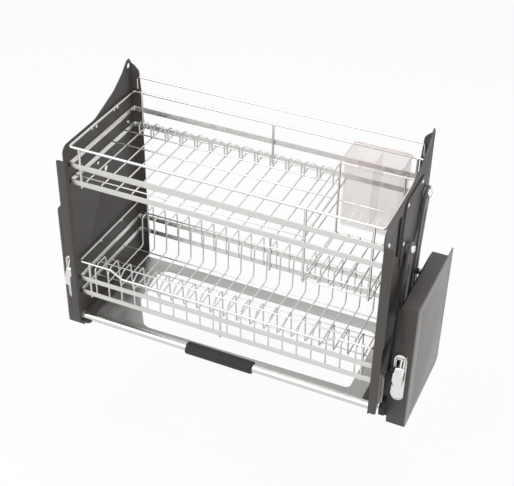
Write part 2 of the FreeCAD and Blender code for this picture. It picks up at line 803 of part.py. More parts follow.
stub_out = disc(lever_x1 - 1, cup_x1 - 0.3, (LEVER_AXIS_Y, LEVER_AXIS_Z), TRUNNION_R)
thumb_pad = sheet_x(
    [
        (fy - 4.8, pad + 38, 1.2),
        (fy - 9.0, pad + 38, 3),
        (LEVER_PAD_Y, pad + 20, 9),
        (LEVER_PAD_Y + 1, pad - 1, 5),
        (fy - 5.4, pad - 8, 3),
    ],
    bezel_mid - PAD_W / 2,
    bezel_mid + PAD_W / 2,
)
sides = [e for e in thumb_pad.Edges if e.BoundBox.XLength < 0.01]
thumb_pad = thumb_pad.makeChamfer(0.8, sides)
lever = join([lever, thumb_pad, stub_in, stub_out])
save_pair("adjuster_lever", lever)

# Visible coil behind the lever
coil_low = CUP_LOW_Z + 3 + COIL_WIRE_R + 5.0
centre = vec(bezel_mid, fy + 6.6, coil_low)
coil, marks = coil_edges(
    centre, vec(0, 1, 0), vec(1, 0, 0), vec(0, 0, 1), COIL_R, COIL_PITCH, COIL_TURNS, 2
)
print("adjuster spring gap", round(least_gap(coil, COIL_WIRE_R), 2), "mm")
save_group("adjuster_springs", [wind(coil, COIL_WIRE_R)])

# Peg that the coil stands on, and screws of the housing cover
pegs = []
pegs.append(rod((bezel_mid, fy + 6.6, CUP_LOW_Z + 3), (bezel_mid, fy + 6.6, coil_low + 2), COIL_R - 1.2))
pegs.append(rod((bezel_mid, fy + 6.6, CUP_LOW_Z + 3), (bezel_mid, fy + 6.6, coil_low - 1.2), COIL_R + 1.4))
save_group("spring_pegs", [join(pegs)])
cover_screws = []
for spot in cover_spots:
    head = disc(housing_in - 1.5, housing_in, spot, 3.6)
    cover_screws.append(head.fuse(disc(housing_in - 1.5, web_out + 0.5, spot, COVER_SCREW_R)))
save_group("cover_screws", cover_screws)

# Rubber strip that cushions the front arm, on the outside of the panel
strip = sheet_x(rect(79, 94, 371, 454, 7.4), panel_out, panel_out + 3.4)
strip = strip.cut(sheet_x(rect(84.5, 88.5, 378, 447, 1.9), panel_out + 1.8, panel_out + 5))
save_pair("buffer_strip", strip)

# Blade behind the front flange, with a bolt at its foot
x1 = panel_out + FLANGE_OUT
blade = sheet_x(
    [
        (22, 66, 3),
        (38, 62, 3),
        (41, 118, 20),
        (47, 140, 1.5),
        (26, 136, 4),
        (20, 126, 4),
    ],
    arm_out - 2,
    arm_out,
)
foot = block(panel_out, arm_out, 21.3, 23.3, 70, 124)
save_pair("latch_blade", blade.fuse(foot))
bolt = rod((x1 - 5, PANEL_T, 70), (x1 - 5, PANEL_T + 12.5, 70), 3.4)
save_group("bumper_bolts", [bolt])

# Folded guard on the housing cover that closes the gap beside the arms, with a rubber foot
guard_y = HOUSING_FRONT_Y - GUARD_T
wing = sheet_y(
    [
        (guard_in, GUARD_LOW_Z, 2),
        (housing_in, GUARD_LOW_Z, 0),
        (housing_in, GUARD_HIGH_Z, 0),
        (guard_in, GUARD_HIGH_Z - 8, 6),
    ],
    guard_y,
    HOUSING_FRONT_Y,
)
side = sheet_x(
    [
        (guard_y, GUARD_LOW_Z, 0),
        (GUARD_BACK_Y, GUARD_LOW_Z, 6),
        (GUARD_BACK_Y, GUARD_HIGH_Z, 6),
        (guard_y, GUARD_HIGH_Z, 0),
    ],
    housing_in - GUARD_T,
    housing_in,
)
guard = wing.fuse(side)
guard = guard.cut(disc(housing_in - 3, housing_in + 1, open_stop, STOP_R + 0.3))
guard = guard.cut(disc(housing_in - 3, housing_in + 1, cover_spots[0], 4.0))
save_pair("arm_guard", guard)
bumper = sheet_x(
    [
        (guard_y, 22, 1),
        (guard_y, 66, 1),
        (32, 66, 4),
        (24, 56, 6),
        (26, 36, 6),
        (38, 26, 6),
    ],
    guard_in + 0.5,
    housing_in - 1,
)
save_pair("corner_bumper", bumper)

# Bottom plate across the carriage, with one wide cut-out
edge = panel_out - 3
shelf = rect(-edge, edge, shelf_front, shelf_back, 4)
bottom = sheet_z(shelf, LIP_Z - PANEL_T, LIP_Z)
opening = [
    (-edge + 130, shelf_front + 12, 26),
    (edge - 52, shelf_front + 20, 10),
    (edge - 52, shelf_back - 30, 24),
    (-edge + 66, shelf_back - 30, 24),
    (-edge + 80, shelf_front + 86, 30),
]
bottom = bottom.cut(sheet_z(opening, LIP_Z - 5, LIP_Z + 5))
relief = rect(GRIP_LEFT - 5, GRIP_RIGHT + 5, shelf_front - 8, TUBE_Y + GRIP_R + 1.5, 3)
bottom = bottom.cut(sheet_z(relief, LIP_Z - 5, LIP_Z + 5))
save("bottom_plate", bottom)

# Handle tube with end plugs and a foam grip
tube = rod((-tube_half, TUBE_Y, TUBE_Z), (tube_half, TUBE_Y, TUBE_Z), TUBE_R)
tube = tube.cut(rod((-tube_half, TUBE_Y, TUBE_Z), (tube_half, TUBE_Y, TUBE_Z), TUBE_R - TUBE_WALL))
save("handle_tube", tube)
grip = rod((GRIP_LEFT, TUBE_Y, TUBE_Z), (GRIP_RIGHT, TUBE_Y, TUBE_Z), GRIP_R)
ends = [e for e in grip.Edges if e.BoundBox.XLength < 0.01]
grip = grip.makeFillet(2.5, ends)
grip = grip.cut(rod((GRIP_LEFT - 1, TUBE_Y, TUBE_Z), (GRIP_RIGHT + 1, TUBE_Y, TUBE_Z), TUBE_R))
save("handle_grip", grip)
plug = disc(tube_half, panel_in, (TUBE_Y, TUBE_Z), TUBE_R)
plug = plug.fuse(disc(tube_half - 14, panel_in, (TUBE_Y, TUBE_Z), TUBE_R - TUBE_WALL - 0.1))
plug = plug.cut(disc(tube_half - 15, panel_in + 1, (TUBE_Y, TUBE_Z), SCREW_R))
save_group("handle_plugs", [plug])


def panel_screw(spot, inner):
    """Domed screw through the side panel, seen from outside."""
    head = disc(panel_out, panel_out + 2.4, spot, SCREW_HEAD_R)
    rims = [e for e in head.Edges if abs(e.BoundBox.XMin - panel_out - 2.4) < 0.01]
    head = head.makeChamfer(1.2, rims)
    return head.fuse(disc(inner, panel_out + 1, spot, SCREW_R))


screws = [panel_screw((TUBE_Y, TUBE_Z), panel_in - 10)]
for spot in screw_spots:
    screws.append(panel_screw(spot, panel_in - STRIP_T - 1.5))
save_group("panel_screws", screws)


# Flat steel bands of the baskets
def band(z, x_half, low):
    """Flat band bent into a rectangle, with rounded corners."""
    outer = rect(-x_half, x_half, BASKET_FRONT_Y, BASKET_BACK_Y, 5)
    inner = rect(
        -x_half + STRIP_T,
        x_half - STRIP_T,
        BASKET_FRONT_Y + STRIP_T,
        BASKET_BACK_Y - STRIP_T,
        3,
    )
    return sheet_z(outer, z, z + low).cut(sheet_z(inner, z - 1, z + low + 1))


rim_y0 = BASKET_FRONT_Y + 1.4
rim_y1 = BASKET_BACK_Y - RIM_R
rim_half = panel_in - 4.6
post_front = BASKET_FRONT_Y + STRIP_T + RIM_R - 0.5
post_back = BASKET_BACK_Y - STRIP_T - RIM_R + 0.5
post_side = panel_in - STRIP_T - RIM_R + 0.5
third = (BASKET_BACK_Y - BASKET_FRONT_Y) / 3
side_posts = (BASKET_FRONT_Y + third, BASKET_FRONT_Y + 2 * third)

# Upper basket frame: rim, two bands and posts, with the hanging section welded on
upper = [
    band(UPPER_BAND_Z, panel_in, BAND_H),
    band(UPPER_LOW_BAND_Z, panel_in, BAND_H),
]
rim_loop = [
    (-rim_half, rim_y0, UPPER_RIM_Z),
    (rim_half, rim_y0, UPPER_RIM_Z),
    (rim_half, rim_y1, UPPER_RIM_Z),
    (-rim_half, rim_y1, UPPER_RIM_Z),
]
upper.append(bar(rim_loop, RIM_R, True))
nub = UPPER_LOW_BAND_Z - 6
for x in (-post_x, post_x, hang_left):
    foot_z = nub if x < 0 else HANG_FLOOR_Z - 4
    upper.append(rod((x, post_front, foot_z), (x, post_front, UPPER_RIM_Z), RIM_R))
for x in (-post_x, 0, post_x):
    upper.append(rod((x, post_back, nub), (x, post_back, UPPER_RIM_Z), RIM_R))
for y in side_posts:
    for x in (-post_side, post_side):
        upper.append(rod((x, y, nub), (x, y, UPPER_RIM_Z + 4), RIM_R))
screw_holes = []
for spot in screw_spots:
    for side in (-1, 1):
        x = side * (panel_in - STRIP_T / 2)
        screw_holes.append(disc(x - STRIP_T, x + STRIP_T, spot, SCREW_R))
screw_holes = Part.makeCompound(screw_holes)
upper_frame = join(upper).cut(screw_holes)
save("upper_basket_frame", upper_frame)

# Upper basket floor: cross wires on long wires, with raised bowl rests at the back
floor = []
edge_r = WIRE_R + 0.5
edge_x = hang_left - RIM_R - edge_r - 0.1
inner_y0 = BASKET_FRONT_Y + STRIP_T
inner_y1 = BASKET_BACK_Y - STRIP_T
long_z = UPPER_FLOOR_Z + 2 * WIRE_R - 0.5
count = int((edge_x - floor_left) / UPPER_PITCH)
last_rest = floor_left + UPPER_PITCH * (count - count % 2)
for i in range(count + 1):
    x = floor_left + UPPER_PITCH * i
    if i % 2:
        floor.append(rod((x, inner_y0, UPPER_FLOOR_Z), (x, inner_y1, UPPER_FLOOR_Z), WIRE_R))
    else:
        rest = [
            (x, inner_y0, UPPER_FLOOR_Z),
            (x, 128, UPPER_FLOOR_Z),
            (x, 158, UPPER_FLOOR_Z + 24),
            (x, 196, UPPER_FLOOR_Z + 24),
            (x, 226, UPPER_FLOOR_Z),
            (x, inner_y1, UPPER_FLOOR_Z),
        ]
        floor.append(bar(rest, WIRE_R))
for y in (23, 41, 104, 240):
    floor.append(rod((-panel_in + 1.6, y, long_z), (edge_x + 1, y, long_z), WIRE_R))
for y in (162, 192):
    z = UPPER_FLOOR_Z + 24 + 2 * WIRE_R - 0.5
    floor.append(rod((floor_left - 3, y, z), (last_rest + 3, y, z), WIRE_R))
floor.append(rod((edge_x, inner_y0, UPPER_FLOOR_Z), (edge_x, inner_y1, UPPER_FLOOR_Z), edge_r))
save("upper_basket_floor", join(floor))

# Hanging section: a deep wire tray for tall things
hang = []
x0 = hang_left
x1h = post_x
zf = HANG_FLOOR_Z
y0 = post_front + RIM_R + WIRE_R - 0.5
for x in (x0, x1h):
    hang.append(rod((x, HANG_BACK_Y, zf - 4), (x, HANG_BACK_Y, UPPER_RIM_Z + 3), WIRE_R + 0.5))
for y in (y0, 41, HANG_BACK_Y - 3.5):
    hang.append(rod((x0 - 3, y, zf), (x1h + 3, y, zf), WIRE_R + 0.3))
dz = 2 * WIRE_R - 0.2
for i in range(6):
    x = x0 + 4 + (x1h - x0 - 8) * i / 5
    hang.append(rod((x, y0 - 2, zf + dz), (x, HANG_BACK_Y - 2, zf + dz), WIRE_R))
for x in (x0 - 3, x1h + 3):
    hang.append(rod((x, y0, zf - 2.6), (x, HANG_BACK_Y + 1, zf - 2.6), WIRE_R))
for z in (zf + 76, UPPER_RIM_Z + 0.3):
    hang.append(rod((x0 - 2, HANG_BACK_Y - 3, z), (x1h + 2, HANG_BACK_Y - 3, z), WIRE_R))
hang.append(rod((x0 + 1.6, y0 - 2, UPPER_RIM_Z), (x0 + 1.6, HANG_BACK_Y, UPPER_RIM_Z), WIRE_R))
hang.append(rod((x0 + 1.6, y0 - 2, zf + 76), (x0 + 1.6, HANG_BACK_Y, zf + 76), WIRE_R))
save("hanging_section", join(hang).cut(upper_frame))

# Lower basket frame: a rim that dips along the front, two bands and posts
lower = [
    band(LOWER_BAND_Z, panel_in, BAND_H),
    band(LOWER_LOW_BAND_Z, panel_in, BAND_H),
]
dip_r = RIM_R - 0.3
dip_y = BASKET_FRONT_Y + STRIP_T - dip_r
dip_x = post_x - DIP_START
dip = [
    (-rim_half, rim_y1, LOWER_RIM_Z),
    (-rim_half, dip_y, LOWER_RIM_Z),
    (-dip_x, dip_y, LOWER_RIM_Z),
    (-dip_x + DIP_RUN, dip_y, LOWER_RIM_DIP_Z),
    (dip_x - DIP_RUN, dip_y, LOWER_RIM_DIP_Z),
    (dip_x, dip_y, LOWER_RIM_Z),
    (rim_half, dip_y, LOWER_RIM_Z),
    (rim_half, rim_y1, LOWER_RIM_Z),
]
lower.append(bar(dip, dip_r, True))
nub = LOWER_LOW_BAND_Z - 6
for x in (-post_x, 0, post_x):
    top_z = LOWER_RIM_DIP_Z if x == 0 else LOWER_RIM_Z
    lower.append(rod((x, post_front, nub), (x, post_front, top_z), RIM_R))
    lower.append(rod((x, post_back, nub), (x, post_back, LOWER_RIM_Z), RIM_R))
for y in side_posts:
    for x in (-post_side, post_side):
        lower.append(rod((x, y, nub), (x, y, LOWER_RIM_Z), RIM_R))
save("lower_basket_frame", join(lower).cut(screw_holes))

# Plate rack: bent wires that stand up at the front and back between the plates
rack = []
front_y = BASKET_FRONT_Y + STRIP_T + WIRE_R
back_y = BASKET_BACK_Y - STRIP_T - WIRE_R
low_z = LOWER_LOW_BAND_Z + 3
for i in range(rack_count):
    x = (i - (rack_count - 1) / 2) * RACK_PITCH
    path = [
        (x, front_y, low_z),
        (x, front_y, RACK_TOP_Z - 8),
        (x, front_y + 14, RACK_TOP_Z),
        (x, 56, RACK_TOP_Z),
        (x, 60, LOWER_FLOOR_Z),
        (x, 206, LOWER_FLOOR_Z),
        (x, 210, RACK_TOP_Z),
        (x, back_y, RACK_TOP_Z),
        (x, back_y, low_z),
    ]
    rack.append(bar(path, WIRE_R))
reach = (rack_count - 1) / 2 * RACK_PITCH + 3
for y in (33, 226):
    z = RACK_TOP_Z + 2 * WIRE_R - 0.5
    rack.append(rod((-reach, y, z), (reach, y, z), WIRE_R))
for y in (76, 133, 190):
    z = LOWER_FLOOR_Z - 2 * WIRE_R + 0.5
    rack.append(rod((-panel_in + STRIP_T, y, z), (panel_in - STRIP_T, y, z), WIRE_R))
save("plate_rack", join(rack))

# Guard rail across the back, with ends turned down along the rear flanges
rail_r = RIM_R - 0.5
rail_y = PANEL_BACK_Y - PANEL_T - rail_r
rail = [
    (-rail_half - 6, rail_y, RAIL_Z - 26),
    (-rail_half - 6, rail_y, RAIL_Z - 6),
    (-rail_half, rail_y, RAIL_Z),
    (rail_half, rail_y, RAIL_Z),
    (rail_half + 6, rail_y, RAIL_Z - 6),
    (rail_half + 6, rail_y, RAIL_Z - 26),
]
save("guard_rail", bar(rail, rail_r))

# Cutlery box: moulded tub with drain slots, a divider and a hook over a wire in front
tub = sheet_z(rect(box_left, box_right, BOX_FRONT_Y, BOX_BACK_Y, 8), BOX_BOTTOM_Z, BOX_TOP_Z)
w = BOX_WALL
inner = rect(box_left + w, box_right - w, BOX_FRONT_Y + w, BOX_BACK_Y - w, 6)
tub = tub.cut(sheet_z(inner, BOX_BOTTOM_Z + w, BOX_TOP_Z + 1))
mid_x = (box_left + box_right) / 2
mid_y = (BOX_FRONT_Y + BOX_BACK_Y) / 2
divider = block(mid_x - 0.9, mid_x + 0.9, BOX_FRONT_Y + 1, BOX_BACK_Y - 1, BOX_BOTTOM_Z + 1, BOX_TOP_Z - 8)
hook_z = UPPER_RIM_Z + WIRE_R + 0.9
hook_y = HANG_BACK_Y - 7.0
hook_top = block(mid_x - 24, mid_x + 24, hook_y, BOX_FRONT_Y + 1, hook_z, hook_z + 2)
hook_lip = block(mid_x - 24, mid_x + 24, hook_y, hook_y + 2, hook_z - 7, hook_z + 1)
tub = join([tub, divider, hook_top, hook_lip])
drains = []
for i in range(6):
    x = box_left + 14 + i * (box_right - box_left - 28) / 5
    drain = rect(x - 2, x + 2, mid_y - 20, mid_y + 20, 1.9)
    drains.append(sheet_z(drain, BOX_BOTTOM_Z - 1, BOX_BOTTOM_Z + w + 1))
tub = tub.cut(Part.makeCompound(drains))
save("cutlery_box", tub)
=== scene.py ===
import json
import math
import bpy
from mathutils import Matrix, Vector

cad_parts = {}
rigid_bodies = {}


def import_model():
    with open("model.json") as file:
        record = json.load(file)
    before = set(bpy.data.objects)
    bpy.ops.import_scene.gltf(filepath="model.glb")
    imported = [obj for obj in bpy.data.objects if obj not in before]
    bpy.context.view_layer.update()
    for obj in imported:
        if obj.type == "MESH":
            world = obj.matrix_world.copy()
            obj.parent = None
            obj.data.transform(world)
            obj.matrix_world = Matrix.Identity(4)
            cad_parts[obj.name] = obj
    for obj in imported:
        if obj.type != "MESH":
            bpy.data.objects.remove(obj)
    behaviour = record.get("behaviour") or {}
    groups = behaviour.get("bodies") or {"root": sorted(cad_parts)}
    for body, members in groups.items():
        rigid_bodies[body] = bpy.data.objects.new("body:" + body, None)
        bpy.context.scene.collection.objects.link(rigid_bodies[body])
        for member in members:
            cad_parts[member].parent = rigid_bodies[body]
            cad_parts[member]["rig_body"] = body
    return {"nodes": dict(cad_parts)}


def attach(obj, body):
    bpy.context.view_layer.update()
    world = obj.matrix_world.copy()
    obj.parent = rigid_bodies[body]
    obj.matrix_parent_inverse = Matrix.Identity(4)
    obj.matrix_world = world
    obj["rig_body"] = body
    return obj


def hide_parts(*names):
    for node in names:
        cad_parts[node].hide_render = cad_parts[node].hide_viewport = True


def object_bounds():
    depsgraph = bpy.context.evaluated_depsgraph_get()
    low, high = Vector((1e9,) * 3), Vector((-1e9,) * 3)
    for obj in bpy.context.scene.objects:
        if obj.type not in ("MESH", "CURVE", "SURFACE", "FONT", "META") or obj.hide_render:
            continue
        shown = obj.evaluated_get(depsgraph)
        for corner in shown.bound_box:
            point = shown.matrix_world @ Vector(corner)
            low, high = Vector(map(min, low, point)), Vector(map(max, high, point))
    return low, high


bl_info = {
    "name": "Pull-down dish rack",
    "version": (1, 0, 0),
    "blender": (4, 5, 0),
    "location": "View3D > Sidebar > Dish rack",
    "description": "Bent wire, fixings and finishes of a pull-down dish rack",
    "category": "Object",
}

import bmesh
import bpy
from mathutils import Matrix, Vector

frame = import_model()
cad_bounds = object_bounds()

# Lengths in capitals are millimetres of the rack's own drawing: x from its middle, y back
# from the front flanges, z up from the foot of the housings
MM = 0.001
MIDDLE_Y = 133.0

# Faces of the sheet parts, from the middle outwards
PANEL_IN = 317.8
PANEL_OUT = 319.3
BRACKET_OUT = 322.3
ARM_OUT = 331.0
HOUSING_IN = 343.0

# Both baskets
FRONT_Y = 12.0
BACK_Y = 261.9
BAND_T = 2.0
BAND_CORNER = 5.0
BAND_EDGE = 0.4
RIM_INSET = 4.6
RIM_BACK = 2.5
POST_X = 294.0
POST_INSET = 4.0
POST_FOOT = 6.0
PEG_REACH = 6.5
WELD_R = 1.5

# Upper basket
UPPER_RIM_Z = 474.0
UPPER_RIM_Y = FRONT_Y + 1.4
UPPER_PEG_Z = UPPER_RIM_Z - 4.0
UPPER_BANDS = (428.0, 391.0)
FLOOR_Z = 404.0
FLOOR_START = -281.0
FLOOR_PITCH = 33.0
FLOOR_COUNT = 14
FLOOR_YS = (23, 41, 104, 162, 212, 240)
ARCH_HALF = 13.5
ARCH_LOW = FLOOR_Z - 1.0
ARCH_TOP = FLOOR_Z + 34.0
ARCH_Y = 214.6
HANG_X = 167.0
HANG_Y = 186.0
HANG_Z = 315.0
HANG_MIDDLE_Z = HANG_Z + 76.0
HANG_FRONT_Y = FRONT_Y + 7.5
HANG_WIRES = 6
RAIL_X = 304.0
RAIL_Y = 260.0
RAIL_Z = 508.0
RAIL_LEG = 26.0
BOX_RIM = ((171, 192), (285, 192), (285, 253), (171, 253))
BOX_RIM_Z = 482.6

# Lower basket
LOWER_RIM_Z = 207.0
LOWER_RIM_Y = FRONT_Y - 0.2
LOWER_PEG_Z = LOWER_RIM_Z - 3.8
LOWER_BANDS = (158.5, 123.5)
DIP_Z = 191.5
DIP_XS = (217, 242)
RACK_TOP_Z = 200.0
RACK_FLOOR_Z = 130.0
RACK_TOP_YS = (33, 226)
RACK_FLOOR_YS = (76, 133, 190)

# Handle tube and pivots as (y, z), the grip's two ends as x
TUBE = (16.0, 62.3)
TUBE_HALF = 316.0
TUBE_BORE = 6.8
TUBE_R = 8.0
GRIP = (-75.0, 72.0)
GRIP_BORE = 8.3
REAR_HIGH = (219.980, 430.026)
FRONT_HIGH = (139.980, 354.026)
LEVER_AXLE = (54, 164)

# Places of the fixings as (y, z)
SCREWS = ((24, 434.75), (253, 434.75), (24, 164.25), (246, 164.25))
RIVETS = ((118.98, 462.03), (200.98, 464.03), (113.98, 380.53), (237.98, 412.03))
COVER_SCREWS = ((75, 56), (216, 56), (80, 262))
STUD_XS = (-328.8, 331.8)
STUD_Z = 70.0

# Profiles of turned heads as (distance out, radius)
DOME = [(0, 2.4), (0, 5.0), (0.7, 5.0), (1.5, 4.5), (2.1, 3.5), (2.4, 2.3), (2.2, 1.8),
        (1.1, 1.7), (1.1, 0)]
RIVET = [(-5.7, 0), (-5.7, 2.2), (-5.2, 3.2), (-4.5, 3.5), (-4.5, 1.9), (0, 1.9), (0, 4.0),
         (0.4, 3.9), (0.9, 3.2), (1.25, 2.0), (1.4, 0)]
PIN_CAP = [(0.1, 4.9), (0.1, 9.0), (3.6, 9.0), (5.0, 8.5), (6.0, 7.4), (6.5, 5.6), (6.5, 3.9),
           (6.2, 3.5), (5.0, 3.4), (5.0, 0)]
REAR_SHANK = [(-13.2, 0), (-13.2, 4.9)]
FRONT_SHANK = [(-14.7, 0), (-14.7, 5.6), (-14.3, 6.4), (-13.2, 6.5), (-13.2, 4.9)]
COVER_SCREW = [(-5.5, 0), (-5.5, 1.7), (-5.3, 1.9), (0, 1.9), (0, 3.6), (0.5, 3.6), (1.1, 3.0),
               (1.5, 1.9), (1.4, 1.2), (0.7, 1.1), (0.7, 0)]
AXLE = [(-11.3, 0), (-11.3, 1.2), (-11.0, 1.5), (11.0, 1.5), (11.3, 1.2), (11.3, 0)]

# Outlines of the latch blade and the lever: (y, z), and (x, z) for the lip
BLADE = [(18.5, 63), (36, 60), (38, 74), (25, 140), (20.5, 142)]
BLADE_WEB = [(21.3, 70), (23.3, 70), (23.3, 124), (21.3, 124)]
BLADE_LIP = [(ARM_OUT - 1.5, 67), (ARM_OUT + 6, 67), (ARM_OUT + 6, 128), (ARM_OUT + 0.5, 136),
             (ARM_OUT - 1.5, 136)]
CHEEK = [(57, 163), (55, 167.5), (50.5, 168), (45, 152), (41, 146), (42, 136), (51, 140),
         (56.5, 154)]
THUMB = [(45.4, 153), (41.5, 151.5), (35, 140), (31.2, 126), (31.6, 115), (35.5, 111.5),
         (44.8, 114)]
LEVER_X = HOUSING_IN + 16.0

# Camera: the photograph's width and focal length in pixels, turns in degrees, place in metres
PHOTO_WIDTH = 514
FOCAL = 1095.1
SENSOR = 36.0
AZIMUTH = 23.74
ELEVATION = 35.8
ROLL = 1.09
CAMERA_AT = (0.7264, -1.5969, 1.5358)

# Stage: the baskets swing down below the housings, so the floor lies this far under them
LOWERED_BY = 265.0
FLOOR_HALF = 4.0
FLOOR_GREY = 0.82
FLOOR_GLOW = 0.85
SKY = ((0.0, 0.75), (0.5, 0.55), (0.68, 0.62), (0.86, 0.95), (1.0, 1.0))
SKY_STRENGTH = 0.9
LAMPS = (
    ("key", (-1.2, -2.2, 2.6), 2.8, 54.0),
    ("side", (2.8, 0.3, 0.62), 1.4, 8.5),
    ("fill", (1.5, -2.6, 1.0), 1.8, 9.0),
    ("top", (0.2, 0.6, 3.0), 3.0, 20.0),
)
LAMP_TARGET = (0, 0, 0.25)

# Fineness of the meshes, in metres and radians
SIDES = 12
TURN_STEP = math.radians(15)
NEARLY_STRAIGHT = 0.02
NEARLY_FLAT = math.radians(0.5)
SHARP = math.radians(35)
SQUARE = 1.2
SAME_SPOT = 0.00001
SAME_SEAM = 0.0001


# Small tools

def place(x, y, z):
    """A point of the drawing as a point of the frame."""
    return Vector((x, y - MIDDLE_Y, z)) * MM


def sizes():
    """Sizes that the user can change."""
    return bpy.context.scene.dish_rack_sizes


def colours():
    """Colours that the user can change."""
    return bpy.context.scene.dish_rack_colours


def verts_of(out):
    """The vertices that an operator made."""
    return [g for g in out["geom"] if isinstance(g, bmesh.types.BMVert)]


def face_of(geom):
    """The first face among some geometry."""
    return next(g for g in geom if isinstance(g, bmesh.types.BMFace))


def everything(bm):
    """All that is in bm, as geometry for an operator."""
    return list(bm.verts) + list(bm.edges) + list(bm.faces)


def sharp_edges(bm, angle):
    """Edges at which the surface turns by more than an angle."""
    return [e for e in bm.edges if len(e.link_faces) == 2 and e.calc_face_angle(0) > angle]


def rounded_edges(bm, edges, width, segments=2, clamp=False):
    """Round some edges over."""
    bmesh.ops.bevel(
        bm, geom=edges, affect="EDGES", offset=width, segments=segments, profile=0.5,
        material=-1, clamp_overlap=clamp,
    )


def grown(bm, face, step):
    """Extrude one end face and move it."""
    out = bmesh.ops.extrude_face_region(bm, geom=[face])
    bmesh.ops.translate(bm, verts=verts_of(out), vec=step)
    return face_of(out["geom"])


def turned(bm, face, centre, axis, angle):
    """Carry one end face round a bend."""
    out = bmesh.ops.spin(
        bm, geom=[face] + list(face.edges) + list(face.verts), cent=centre, axis=axis,
        angle=angle, steps=max(2, math.ceil(angle / TURN_STEP)), use_duplicate=False,
    )
    return face_of(out["geom_last"])


def wire(bm, points, radius, bend, closed=False):
    """Round wire through points, each corner turned on a bend."""
    spots = list(points)
    if closed:
        seam = (spots[-1] + spots[0]) / 2
        spots = [seam] + spots + [seam]
    runs = [(b - a).normalized() for a, b in zip(spots, spots[1:])]
    turn = runs[0].to_track_quat("Z", "Y").to_matrix().to_4x4()
    made = bmesh.ops.create_circle(
        bm, cap_ends=True, radius=radius, segments=SIDES,
        matrix=Matrix.Translation(spots[0]) @ turn,
    )
    ring = list(made["verts"])
    face = ring[0].link_faces[0]
    here = spots[0]
    for run, after, end in zip(runs, runs[1:], spots[1:]):
        angle = run.angle(after)
        if angle < NEARLY_STRAIGHT:
            continue
        back = bend * math.tan(angle / 2)
        reach = end - run * back
        face = grown(bm, face, reach - here)
        axis = run.cross(after).normalized()
        face = turned(bm, face, reach + axis.cross(run) * bend, axis, angle)
        here = end + after * back
    face = grown(bm, face, spots[-1] - here)
    if closed:
        ends = [face] + [f for f in ring[0].link_faces if all(v in ring for v in f.verts)]
        bmesh.ops.delete(bm, geom=ends, context="FACES_ONLY")
        bmesh.ops.remove_doubles(bm, verts=bm.verts, dist=SAME_SEAM)


def rounded_rod(bm, a, b, radius, sides=SIDES):
    """Straight rod with softened ends."""
    run = b - a
    turn = run.to_track_quat("Z", "Y").to_matrix().to_4x4()
    made = bmesh.ops.create_cone(
        bm, cap_ends=True, segments=sides, radius1=radius, radius2=radius,
        depth=run.length, matrix=Matrix.Translation((a + b) / 2) @ turn,
    )
    rims = dict.fromkeys(
        e for v in made["verts"] for e in v.link_edges
        if any(len(f.verts) > 4 for f in e.link_faces)
    )
    rounded_edges(bm, list(rims), radius * 0.3)


def repeated(bm, pitch, count):
    """Make everything in bm the first of a row along X."""
    geom = everything(bm)
    for i in range(1, count):
        out = bmesh.ops.duplicate(bm, geom=geom)
        bmesh.ops.translate(bm, verts=verts_of(out), vec=(pitch * i, 0, 0))


def mirrored(bm):
    """Add the left hand copy of everything in bm."""
    out = bmesh.ops.duplicate(bm, geom=everything(bm))
    bmesh.ops.scale(bm, verts=verts_of(out), vec=(-1, 1, 1))


def joined(bm, other):
    """Put a finished small mesh into bm."""
    mesh = bpy.data.meshes.new("part")
    other.to_mesh(mesh)
    other.free()
    bm.from_mesh(mesh)
    bpy.data.meshes.remove(mesh)


def finished(name, bm, material, body, nodes, sharp=35):
    """Turn bm into a piece that rides on its body in place of CAD nodes."""
    bmesh.ops.recalc_face_normals(bm, faces=bm.faces)
    mesh = bpy.data.meshes.new(name)
    bm.to_mesh(mesh)
    bm.free()
    for face in mesh.polygons:
        face.use_smooth = True
    mesh.set_sharp_from_angle(angle=math.radians(sharp))
    mesh.materials.append(material)
    piece = bpy.data.objects.new(name, mesh)
    bpy.context.scene.collection.objects.link(piece)
    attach(piece, body)
    if nodes:
        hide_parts(*nodes)


def turned_part(bm, x, out, y, z, profile, steps=24):
    """Part turned about an axis along X, from (distance out, radius) points."""
    centre = place(x, y, z)
    spots = [centre + Vector((out * a, 0, r)) * MM for a, r in profile]
    verts = [bmesh.ops.create_vert(bm, co=spot)["vert"][0] for spot in spots]
    edges = [bm.edges.new(pair) for pair in zip(verts, verts[1:])]
    bmesh.ops.spin(
        bm, geom=verts + edges, cent=centre, axis=(1, 0, 0), angle=2 * math.pi, steps=steps,
        use_merge=True,
    )
    bmesh.ops.remove_doubles(bm, verts=bm.verts, dist=SAME_SPOT)


def edged_block(bm, outline, low, high, round_by, along_y=False):
    """Solid with rounded edges: a (y, z) outline between two x, or (x, z) between two y."""
    one = bmesh.new()
    spots = [place(a, low, b) if along_y else place(low, a, b) for a, b in outline]
    verts = [bmesh.ops.create_vert(one, co=spot)["vert"][0] for spot in spots]
    run = (high - low) * MM
    grown(one, one.faces.new(verts), Vector((0, run, 0) if along_y else (run, 0, 0)))
    bmesh.ops.recalc_face_normals(one, faces=one.faces)
    rounded_edges(one, list(one.edges), round_by * MM, segments=3, clamp=True)
    joined(bm, one)


def welds(bm, spots):
    """Small flat beads of weld where wires cross."""
    bead = bmesh.new()
    for spot in spots:
        made = bmesh.ops.create_icosphere(
            bead, subdivisions=1, radius=WELD_R * MM, matrix=Matrix.Translation(spot)
        )
        bmesh.ops.scale(
            bead, verts=made["verts"], vec=(1.25, 1.25, 0.8), space=Matrix.Translation(-spot)
        )
    joined(bm, bead)


